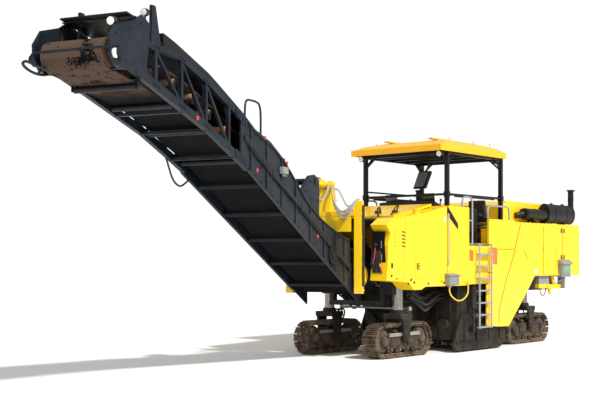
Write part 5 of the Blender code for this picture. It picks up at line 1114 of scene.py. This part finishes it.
def canopy_details():
    frame_bits = Piece("canopy_detail", "chassis", "black_paint", "black")
    for x in (-2.02, -3.96):
        for y in (-0.92, 0.92):
            frame_bits.box(x - 0.07, x + 0.07, y - 0.07, y + 0.07, 1.951, 1.965)
            frame_bits.box(x - 0.045, x + 0.045, y - 0.045, y + 0.045, 2.84, 2.94)
            frame_bits.bolts([(x + dx, y + dy, 1.965) for dx in (-0.05, 0.05) for dy in (-0.05, 0.05)], UP,
                             0.009, 0.010)
    for y in (-0.92, 0.92):
        frame_bits.bar((-2.02, y, 3.46), (-2.26, y, 3.66), 0.03, 0.03, OUT)
        frame_bits.bar((-3.96, y, 3.46), (-3.72, y, 3.66), 0.03, 0.03, OUT)
        frame_bits.rod((-2.30, y, 2.87), (-3.7, y, 2.87), 0.024, 14)
    for x in (-2.02, -3.96):
        for s in (-1, 1):
            frame_bits.bar((x, s * 0.90, 3.46), (x, s * 0.66, 3.66), 0.03, 0.03, FORE)
    frame_bits.tube([(-1.99, 0.955, 1.98), (-1.99, 0.955, 3.66)], 0.009, 8)
    frame_bits.box(-3.96, -2.02, -0.90, -0.87, 2.98, 3.01)
    frame_bits.rod((-3.25, -0.50, 2.66), (-3.25, -0.50, 3.06), 0.075, 28)
    frame_bits.rod((-3.25, -0.50, 3.05), (-3.25, -0.50, 3.08), 0.085, 28)
    frame_bits.rod((-3.25, -0.50, 1.96), (-3.25, -0.50, 2.66), 0.020, 14)
    for x in (-2.4, -2.9, -3.4):
        frame_bits.bar((x, -0.93, 3.665), (x, 0.93, 3.665), 0.03, 0.05)
    frame_bits.done(0.003)
    # a dark sheet just under the canopy roof: painted shade, not a liner
    liner = Piece("canopy_liner", "chassis", "canopy_liner", "yellow")
    liner.box(-3.90, -1.78, -0.92, 0.92, 3.690, 3.6995)
    liner.done(0.004)
    # the rim takes the darker, oranger canopy yellow, which carries painted shade
    rim = Piece("canopy_rim", "chassis", "canopy_yellow_and_painted_shade", "yellow")
    x0, x1, y1, z = -3.985, -1.695, 1.0, 3.72
    for s in (-1, 1):
        rim.bar((x0, s * y1, z), (x1, s * y1, z), 0.040, 0.11, UP)
    for x in (x0, x1):
        rim.bar((x, -y1, z), (x, y1, z), 0.040, 0.11, UP)
    for s in (-1, 1):
        for x in (x0, x1):
            rim.rod((x, s * y1, z - 0.055), (x, s * y1, z + 0.055), 0.024, 20)
    for k in (-0.5, 0.5):
        rim.bar((-3.6, k, 3.945), (-2.1, k, 3.945), 0.10, 0.028, UP)
    for x in (-2.25, -3.1, -3.7):
        rim.rod((x, 0.83, 3.90), (x, 0.83, 3.95), 0.012, 12)
        rim.rod((x, -0.83, 3.90), (x, -0.83, 3.95), 0.012, 12)
    rim.done(0.006)
    mirror = Piece("display_case", "chassis", "black_plastic", "black")
    mirror.prism([(-3.36, 3.12), (-3.44, 3.12), (-3.66, 3.47), (-3.58, 3.49)], "y", -0.74, -0.46)
    mirror.bar((-3.50, -0.60, 3.30), (-3.72, -0.60, 3.60), 0.03, 0.03, OUT)
    mirror.rod((-3.72, -0.60, 3.58), (-3.72, -0.60, 3.69), 0.016, 12)
    mirror.rod((-3.50, -0.60, 3.16), (-3.44, -0.60, 3.06), 0.02, 12)
    mirror.done(0.008)
    screen = Piece("display_glass", "chassis", "grey_paint", "black")
    screen.prism([(-3.352, 3.16), (-3.362, 3.16), (-3.572, 3.46), (-3.562, 3.47)], "y", -0.71, -0.49)
    screen.done(0.001, segments=1)
    bodies = Piece("work_lamps", "chassis", "black_plastic", "black")
    lenses = Piece("work_lamp_lenses", "chassis", "lamp_white", "chrome")
    for x, y, d in ((-1.84, -0.88, 1), (-1.84, 0.88, 1), (-3.86, -0.88, -1), (-3.86, 0.88, -1)):
        bodies.rod((x - d * 0.06, y, 3.63), (x + d * 0.03, y, 3.615), 0.058, 24)
        bodies.rod((x - d * 0.02, y, 3.66), (x - d * 0.02, y, 3.695), 0.014, 10)
        lenses.rod((x + d * 0.025, y, 3.616), (x + d * 0.036, y, 3.614), 0.050, 24)
    bodies.done(0.004)
    lenses.done(0.003)
    beacon = Piece("beacon", "chassis", "reflector_amber", "yellow")
    beacon.rod((-3.74, 0.0, 3.90), (-3.74, 0.0, 3.975), 0.055, 28, 0.045)
    beacon.done(0.012)


def floor_grid():
    grid = Piece("floor_tread", "chassis", "yellow_worn", "yellow")
    for i in range(26):
        for j in range(-13, 14):
            x = -4.0 + 0.09 * i
            y = 0.075 * j + (0.037 if i % 2 else 0)
            if abs(x + 2.8) < 0.28 and abs(y) < 0.28:
                continue
            grid.bar((x - 0.018, y - 0.012, 1.951), (x + 0.018, y + 0.012, 1.951), 0.010, 0.005)
    grid.done(0, segments=1)


# ------------------------------------------------------------------ conveyor
def belt_mid(s):
    """Belt's middle: it comes down to the head pulley at the end."""
    drop = max(0.0, (s - 5.90) / (HEAD_S - 5.90))
    return lower(s) + 0.27 + (0.08 - 0.27) * drop


def conveyor_plates():
    """Flanges, ribs, bolts and brackets of the side plates."""
    y = CONV
    plate = Piece("conveyor_plate_detail", "conveyor", "truss_paint", "truss", ARM)
    marks = [0.40 + 0.20 * i for i in range(20)]
    for s0, s1 in zip(marks, marks[1:]):
        plate.bar((s0, y + 0.010, lower(s0) + 0.012), (s1, y + 0.010, lower(s1) + 0.012), 0.024, 0.024, OUT)
        plate.bar((s0, y + 0.006, upper(s0) - 0.012), (s1, y + 0.006, upper(s1) - 0.012), 0.024, 0.024, OUT)
        plate.bar((s0, y + 0.003, lower(s0) + 0.32), (s1, y + 0.003, lower(s1) + 0.32), 0.006, 0.045, OUT)
    for s in (0.62, 1.02, 1.50, 2.05, 2.60, 3.10, 3.60, 4.10):
        plate.prism([(s - 0.018, lower(s) + 0.02), (s + 0.018, lower(s) + 0.03), (s + 0.018, upper(s) - 0.02),
                     (s - 0.018, upper(s) - 0.03)], "y", y - 0.002, y + 0.014)
    for i in range(21):
        s = 0.45 + 0.185 * i
        plate.bolt((s, y, lower(s) + 0.06), OUT, 0.013, 0.010)
        plate.bolt((s, y, upper(s) - 0.05), OUT, 0.011, 0.009)
        plate.bolt((s, y, lower(s) + 0.27), OUT, 0.010, 0.008)
    plate.mirror()
    plate.done(0.002, segments=1)
    joint = Piece("conveyor_joint", "conveyor", "truss_paint", "truss", ARM)
    for s in (4.28, 4.36, 4.44, 4.52):
        for k in range(4):
            joint.bolt((s, y + 0.008, lower(s) + 0.03 + 0.028 * k), OUT, 0.011, 0.010)
            joint.bolt((s, y + 0.008, upper(s) - 0.015 - 0.018 * k), OUT, 0.008, 0.008)
    joint.prism([(4.22, lower(4.22) + 0.005), (4.56, lower(4.56) + 0.005), (4.56, lower(4.56) + 0.13),
                 (4.22, lower(4.22) + 0.13)], "y", y - 0.001, y + 0.010)
    joint.prism([(4.22, upper(4.22) - 0.09), (4.56, upper(4.56) - 0.09), (4.56, upper(4.56) - 0.002),
                 (4.22, upper(4.22) - 0.002)], "y", y - 0.001, y + 0.008)
    for s in (4.72, 5.34, 5.96, 6.56):
        joint.prism([(s - 0.09, lower(s) + 0.105), (s + 0.13, lower(s) + 0.13), (s + 0.03, lower(s) + 0.22),
                     (s - 0.03, lower(s) + 0.21)], "y", y - 0.052, y - 0.044)
        joint.prism([(s - 0.13, upper(s) - 0.085), (s + 0.08, upper(s) - 0.075), (s + 0.03, upper(s) - 0.16),
                     (s - 0.04, upper(s) - 0.16)], "y", y - 0.052, y - 0.044)
        for k in (-0.06, 0.0, 0.06):
            joint.bolt((s + k, y, lower(s + k) + 0.055), OUT, 0.011, 0.010)
            joint.bolt((s + k, y, upper(s + k) - 0.035), OUT, 0.011, 0.010)
    joint.mirror()
    joint.done(0.002, segments=1)
    disc = Piece("conveyor_disc", "conveyor", "black_paint", "black", ARM)
    disc.rod((1.15, y, 1.76), (1.15, y + 0.030, 1.76), 0.16, 40)
    disc.rod((1.15, y + 0.02, 1.76), (1.15, y + 0.045, 1.76), 0.085, 28)
    disc.bolts([(1.15 + 0.135 * math.cos(a), y + 0.030, 1.76 + 0.135 * math.sin(a))
                for a in (k * math.pi / 4 for k in range(8))], OUT, 0.012, 0.010)
    disc.rod((TILT[0], y, TILT[1]), (TILT[0], y + 0.012, TILT[1]), 0.12, 32)
    disc.mirror()
    disc.done(0.004)


def conveyor_rollers():
    """Carrying and return rollers seen through the truss."""
    beige = Piece("conveyor_rollers", "conveyor", "idler_beige", "rubber", ARM)
    orange = Piece("orange_roller", "conveyor", "idler_orange", "yellow", ARM)
    dark = Piece("return_rollers", "conveyor", "black_paint", "black", ARM)
    hold = Piece("roller_brackets", "conveyor", "truss_paint", "truss", ARM)
    for i, s in enumerate((4.60, 5.05, 5.50, 5.95, 6.40, 6.80)):
        z = belt_mid(s) + 0.096
        piece = orange if i == 0 else beige
        piece.rod((s, -0.13, z), (s, 0.13, z), 0.042, 22)
        for k in (-1, 1):
            piece.rod((s, k * 0.15, z), (s, k * 0.385, z), 0.042, 22)
            piece.rod((s, k * 0.385, z), (s, k * 0.395, z), 0.018, 12)
        hold.bar((s + 0.02, -0.40, z - 0.075), (s + 0.02, 0.40, z - 0.075), 0.05, 0.03)
        for t in (-0.395, -0.14, 0.14, 0.395):
            hold.bar((s + 0.02, t, z - 0.075), (s, t, z + 0.02), 0.04, 0.008, OUT)
    for s in (4.35, 5.20, 6.05, 6.85):
        z = belt_mid(s) - 0.168 - 0.045
        dark.rod((s, -0.42, z), (s, 0.42, z), 0.038, 22)
        for t in (-0.45, 0.45):
            hold.bar((s, t, z - 0.02), (s, t, z + 0.10), 0.05, 0.012, OUT)
    beige.done(0.003)
    orange.done(0.003)
    dark.done(0.003)
    hold.done(0.001, segments=1)


def conveyor_cover_detail():
    """Cover's seams, straps and clips, and the rubber apron at the head."""
    cover = Piece("cover_straps", "conveyor", "black_paint", "black", ARM)
    for s in (3.25, 3.75, 4.25, 4.75, 5.25, 5.75, 6.25):
        top = lower(s) + interpolated(COVER, s)
        cover.box(s - 0.022, s + 0.022, -0.36, 0.36, top + 0.002, top + 0.018)
        for t in (-0.36, 0.36):
            cover.bar((s, t, top + 0.012), (s, t * 1.22, top - 0.05), 0.03, 0.012, FORE)
    cover.done(0.002, segments=1)
    apron = Piece("head_apron", "conveyor", "belt_rubber", "rubber", ARM)
    for k in (-1, 1):
        apron.prism([(6.86, 4.40), (7.02, 4.34), (7.14, 3.98), (6.96, 4.02)], "y",
                    *sorted((k * 0.455, k * 0.475)))
    apron.done(0.003)


def conveyor_rails():
    """Handrail loop, head guard, lamps with brackets, reflectors, and hoses along the chords."""
    rail = Piece("conveyor_rail", "conveyor", "truss_paint", "truss", ARM)
    t = 0.45
    rail.curve([(3.67, t, upper(3.67) - 0.03), (3.67, t, 3.70), (3.71, t, 3.83), (3.80, t, 3.865),
                (4.02, t, 3.865),
                (4.12, t, 3.84), (4.16, t, 3.74), (4.16, t, upper(4.16) - 0.03)], 0.015, 12, 4)
    rail.curve([(3.67, -t, upper(3.67) - 0.03), (3.67, -t, 3.70), (3.71, -t, 3.83), (3.80, -t, 3.865),
                (4.02, -t, 3.865), (4.12, -t, 3.84), (4.16, -t, 3.74), (4.16, -t, upper(4.16) - 0.03)], 0.015,
               12, 4)
    rail.done(0, segments=1)
    guard = Piece("head_guard", "conveyor", "truss_paint", "truss", ARM)
    guard.curve([(7.18, -0.47, 3.80), (7.34, -0.47, 3.755), (7.50, -0.47, 3.74), (7.66, -0.47, 3.765),
                 (7.76, -0.46, 3.81),
                 (7.77, -0.40, 3.83), (7.66, -0.36, 3.80), (7.50, -0.36, 3.79)], 0.016, 12, 5)
    guard.rod((7.50, -0.47, 3.74), (7.50, -0.35, 3.79), 0.013, 12)
    guard.rod((7.53, -0.49, 3.97), (7.53, 0.49, 3.97), 0.013, 12)
    guard.rod((7.30, -0.485, 3.775), (7.30, 0.485, 3.775), 0.018, 12)
    guard.box(6.72, 7.02, -0.48, 0.48, 4.395, 4.409)
    guard.bolts([(s, CONV, z) for s, z in ((7.0, 3.78), (7.2, 3.86), (7.44, 3.92), (7.40, 4.14), (7.1, 4.24),
                                           (6.9, 4.34))],
                OUT, 0.012, 0.010)
    guard.rod((HEAD_S, CONV - 0.002, lower(HEAD_S) + 0.08), (HEAD_S, CONV + 0.045, lower(HEAD_S) + 0.08),
              0.075, 28)
    guard.rod((HEAD_S, -CONV + 0.002, lower(HEAD_S) + 0.08), (HEAD_S, -CONV - 0.10, lower(HEAD_S) + 0.08),
              0.085, 28)
    guard.rod((HEAD_S, -CONV - 0.09, lower(HEAD_S) + 0.08), (HEAD_S, -CONV - 0.14, lower(HEAD_S) + 0.08),
              0.055, 20)
    guard.done(0.003)
    body = Piece("conveyor_lamp_bodies", "conveyor", "black_plastic", "black", ARM)
    lens = Piece("conveyor_lamps", "conveyor", "lamp_white", "chrome", ARM)
    for s, tt, z, r in ((7.40, 0.44, 4.28, 0.05), (6.78, 0.47, 4.50, 0.045), (6.62, -0.47, 4.50, 0.045)):
        body.rod((s - 0.06, tt, z), (s + 0.012, tt, z - 0.01), r, 22)
        body.rod((s - 0.03, tt, z - 0.09), (s - 0.03, tt, z), 0.012, 10)
        lens.rod((s + 0.010, tt, z - 0.009), (s + 0.020, tt, z - 0.011), r * 0.9, 22)
    lens.rod((7.44, CONV - 0.002, 3.91), (7.44, CONV + 0.018, 3.91), 0.055, 24)
    lens.rod((7.40, -CONV + 0.002, 3.93), (7.40, -CONV - 0.018, 3.93), 0.055, 24)
    body.done(0.004)
    lens.done(0.002)
    dots = Piece("conveyor_reflectors", "conveyor", "reflector_red", "yellow", ARM)
    for s, z in ((3.91, 2.91), (3.65, 3.38), (2.91, 3.09), (1.75, 2.05), (5.60, lower(5.60) + 0.055)):
        dots.rod((s, CONV - 0.004, z), (s, CONV + 0.010, z), 0.030, 20)
    dots.mirror()
    dots.done(0.002)
    hoses = Piece("conveyor_hoses", "conveyor", "hose_rubber", "rubber", ARM)
    for k in range(3):
        line = [(s, CONV + 0.012 + 0.004 * (k % 2),
                 lower(s) + 0.36 + 0.028 * k + 0.012 * math.sin(3.1 * s + k))
                for s in (0.40, 0.9, 1.5, 2.1, 2.7, 3.3, 3.9, 4.3)]
        hoses.curve(line, 0.011, 8, 4)
    line = [(s, 0.42, lower(s) + 0.13 + 0.02 * math.sin(4 * s)) for s in (4.3, 4.9, 5.5, 6.1, 6.7, 7.0)]
    hoses.curve(line, 0.014, 8, 4)
    line = [(s, -0.44, lower(s) + 0.14 + 0.02 * math.sin(5 * s)) for s in (4.3, 4.9, 5.5, 6.1, 6.7, 7.1,
                                                                           7.30)]
    hoses.curve(line, 0.016, 8, 4)
    hoses.curve([(4.66, -0.50, lower(4.66) + 0.02), (4.60, -0.51, 3.02), (4.44, -0.51, 2.78),
                 (4.25, -0.51, 2.70),
                 (4.08, -0.51, 2.76), (3.98, -0.51, lower(3.98) + 0.03)], 0.014, 8, 6)
    for s in (0.7, 1.4, 2.4, 3.4, 4.15):
        hoses.box(s - 0.015, s + 0.015, CONV, CONV + 0.032, lower(s) + 0.34, lower(s) + 0.45)
    hoses.done(0, segments=1)


def conveyor_brackets():
    """Trunnion covers, lift eye, stay anchors and the little box on the chord."""
    eye = Piece("lift_bracket_detail", "conveyor", "truss_paint", "truss", ARM)
    for s in (-1, 1):
        lo, hi = sorted((s * (CONV - 0.052), s * (CONV - 0.064)))
        eye.prism([(1.72, 2.50), (2.38, 2.62), (2.05, 2.90), (1.88, 2.93)], "y", lo, hi)
        for x, z in ((1.75, 2.60), (2.0, 2.62), (2.22, 2.72), (2.0, 2.88)):
            eye.bolt((x, s * CONV, z), OUT * s, 0.014, 0.012)
    eye.rod((1.80, CONV - 0.002, 2.90), (1.80, CONV + 0.014, 2.90), 0.07, 26)
    eye.rod((1.80, -CONV + 0.002, 2.90), (1.80, -CONV - 0.014, 2.90), 0.07, 26)
    eye.box(2.86, 3.02, 0.30, 0.46, upper(2.94) - 0.01, upper(2.94) + 0.09)
    eye.done(0.003)
    valve = Piece("conveyor_valve", "conveyor", "grey_paint", "black", ARM)
    valve.box(2.98, 3.16, CONV, CONV + 0.06, 2.92, 3.02)
    for k in range(3):
        valve.rod((3.01 + 0.055 * k, CONV + 0.03, 2.92), (3.01 + 0.055 * k, CONV + 0.03, 2.885), 0.013, 10)
    valve.done(0.004)


def head_pulley_detail():
    z = lower(HEAD_S) + 0.08
    drum = Piece("head_pulley_lagging", "head_pulley", "belt_rubber", "rubber", ARM)
    for k in range(18):
        a = 2 * math.pi * k / 18
        c, s = math.cos(a), math.sin(a)
        for t0 in (-0.36, 0.02):
            drum.bar((HEAD_S + 0.1535 * c, t0, z + 0.1535 * s),
                     (HEAD_S + 0.1535 * c, t0 + 0.34, z + 0.1535 * s), 0.020, 0.006,
                     (c, 0, s))
    drum.done(0, segments=1)


def belt_detail():
    """Cleats on the belt, each one a shallow chevron."""
    cleats = Piece("belt_cleats", "conveyor", "belt_rubber", "rubber", ARM)
    s = 0.5
    while s < 6.9:
        z = belt_mid(s) + 0.176
        z2 = belt_mid(s + 0.10) + 0.176
        for k in (-1, 1):
            cleats.bar((s + 0.10, 0.02 * k, z2), (s, 0.30 * k, z), 0.020, 0.022, UP)
        s += 0.25
    cleats.done(0.002, segments=1)


# ------------------------------------------------------------------ console of the conveyor
def slew_parts():
    post = Piece("slew_detail", "slew", "yellow_worn", "yellow", ARM)
    for t in (-1, 1):
        y0, y1 = sorted((t * 0.688, t * 0.700))
        for z in (1.16, 1.60, 2.05, 2.45):
            post.box(0.165, 0.295, y0, y1, z, z + 0.03)
        post.bolts([(0.20, t * 0.690, z) for z in (1.22, 1.36, 1.50, 1.80, 2.2, 2.55)], OUT * t, 0.013, 0.011)
        post.rod((TILT[0], t * 0.685, TILT[1]), (TILT[0], t * 0.705, TILT[1]), 0.10, 30)
        post.bolts([(TILT[0] + 0.075 * math.cos(a), t * 0.703, TILT[1] + 0.075 * math.sin(a))
                    for a in (k * math.pi / 3 for k in range(6))], OUT * t, 0.010, 0.009)
        post.prism([(0.10, 2.60), (0.17, 2.60), (0.17, 2.30), (0.13, 2.45)], "y",
                   *sorted((t * 0.58, t * 0.67)))
    post.done(0.003)
    mast = Piece("mast_detail", "slew", "yellow_paint", "yellow", ARM)
    mast.box(-0.13, 0.06, -0.105, 0.105, 2.705, 2.725)
    mast.bolts([(x, t * 0.105, z) for x in (-0.05, 0.02) for z in (2.75, 2.86) for t in (-1, 1)], UP, 0.008,
               0.004)
    for t in (-1, 1):
        mast.rod((LIFT_A[0], t * 0.10, LIFT_A[1]), (LIFT_A[0], t * 0.125, LIFT_A[1]), 0.045, 24)
        mast.bolt((LIFT_A[0], t * 0.125, LIFT_A[1]), OUT * t, 0.020, 0.012)
    mast.done(0.003)
    loops = Piece("mast_hoses", "slew", "hose_grey", "grey", ARM)
    for k in range(3):
        t = 0.06 * k
        loops.curve([(0.14, 0.10, 2.97 - 0.03 * k), (0.30, 0.17, 2.82), (0.36, 0.24, 2.64 - 0.4 * t),
                     (0.37, 0.36 + t / 4, 2.50 - t), (0.36, 0.48 + t / 4, 2.54 - 0.6 * t), (0.30, 0.59, 2.67),
                     (0.23, 0.60 + t / 4, 2.70)], 0.017, 10, 6)
        loops.curve([(0.0, -0.10, 2.95 - 0.03 * k), (-0.14, -0.20, 2.98 - t), (-0.22, -0.30, 2.86 - t),
                     (-0.12, -0.42, 2.72), (0.08, -0.50, 2.68)], 0.015, 10, 6)
    loops.done(0, segments=1)
    drop = Piece("console_hoses", "slew", "hose_rubber", "rubber", ARM)
    for k in range(3):
        t = 0.703 + 0.013 * (k % 2)
        x = 0.19 + 0.034 * k
        drop.curve([(x, t, 2.60), (x + 0.010, t + 0.004, 2.30), (x - 0.006, t, 1.95),
                    (x + 0.008, t + 0.004, 1.60),
                    (x, t, 1.24)], 0.011, 8, 5)
    drop.done(0, segments=1)


def lift_parts():
    """Seal, fittings and pipe of the lift cylinder."""
    a = Vector((LIFT_A[0], 0, LIFT_A[1]))
    b = Vector((1.80, 0, 2.90))
    run = (b - a).normalized()
    over = Vector((-run.z, 0, run.x))
    parts = Piece("lift_barrel_detail", "lift_barrel", "yellow_worn", "yellow", ARM)
    for d in (0.20, 0.86):
        parts.rod(a + run * d, a + run * (d + 0.05), 0.068, 28)
    parts.bolt(a + run * 0.30 + over * 0.055, over, 0.020, 0.030)
    parts.bolt(a + run * 0.80 + over * 0.055, over, 0.020, 0.030)
    parts.done(0.003)
    pipe = Piece("lift_pipe", "lift_barrel", "hose_rubber", "rubber", ARM)
    pipe.curve([a + run * 0.30 + over * 0.08, a + run * 0.36 + over * 0.095, a + run * 0.70 + over * 0.095,
                a + run * 0.80 + over * 0.08], 0.010, 8, 5)
    pipe.done(0, segments=1)
    sling = Piece("lift_hose", "lift_barrel", "hose_grey", "grey", ARM)
    for k in (-1, 1):
        y = OUT * (k * 0.055)
        sling.curve([a + y + run * 0.10, a + y * 1.6 + run * 0.26 - over * 0.16,
                     a + y * 1.8 + run * 0.52 - over * 0.27,
                     a + y * 1.6 + run * 0.80 - over * 0.20, a + y + run * 0.98 - over * 0.05], 0.016, 10, 6)
    sling.done(0, segments=1)


# ------------------------------------------------------------------ finishes of the CAD nodes
FINISH = {
    "canopy_roof": "canopy_yellow_and_painted_shade", "canopy_frame": "black_paint", "drum_housing": "housing_black",
    "side_plate_left": "housing_black", "side_plate_right": "housing_black", "scraper_gate": "housing_black",
    "milling_drum": "drum_steel", "engine_block": "black_paint", "exhaust": "black_paint",
    "primary_conveyor": "black_paint", "primary_belt": "belt_rubber", "console": "black_plastic",
    "seat_left": "seat_vinyl", "seat_right": "seat_vinyl", "conveyor_frame": "truss_paint",
    "conveyor_belt": "belt_dusty", "conveyor_cover": "black_paint", "head_pulley": "drum_steel",
    "lift_barrel": "yellow_worn", "lift_rod": "chrome", "tie_rod_front": "galvanised",
    "main_frame": "black_paint",
    "slew_console": "yellow_worn", "control_box_left": "box_grey", "control_box_right": "box_grey",
    "level_box_left": "box_grey", "level_box_right": "box_grey", "ladder_left": "galvanised",
    "ladder_right": "galvanised", "leg_front_left": "yoke_black", "leg_front_right": "yoke_black",
    "leg_rear_left": "yoke_black", "leg_rear_right": "yoke_black"}


def finish_nodes():
    for name, ob in NODES.items():
        pick = MATS[FINISH.get(name, "track_frame" if name.startswith("track") else "yellow_paint")]
        for slot in ob.material_slots:
            slot.material = pick
        if not ob.material_slots:
            ob.data.materials.append(pick)
        if not name.startswith(("track", "hose", "cable", "leg")):
            bevel_edges(ob, 0.003, 40, 2)


camera()
cords()
lights()
floor()
finish_nodes()
for key in TRACKS:
    crawler(key)
    leg(key)
steering()
drum_picks()
side_plates()
housing()
for tag, s in (("left", 1), ("right", -1)):
    tank_side(tag, s)
    rear_side(tag[0], s)
    ladder_side(tag, s)
service_door()
plates_and_patches()
level_boxes()
top_details()
exhaust()
seats()
console()
canopy_details()
floor_grid()
conveyor_plates()
conveyor_rollers()
conveyor_cover_detail()
conveyor_rails()
conveyor_brackets()
head_pulley_detail()
belt_detail()
slew_parts()
lift_parts()
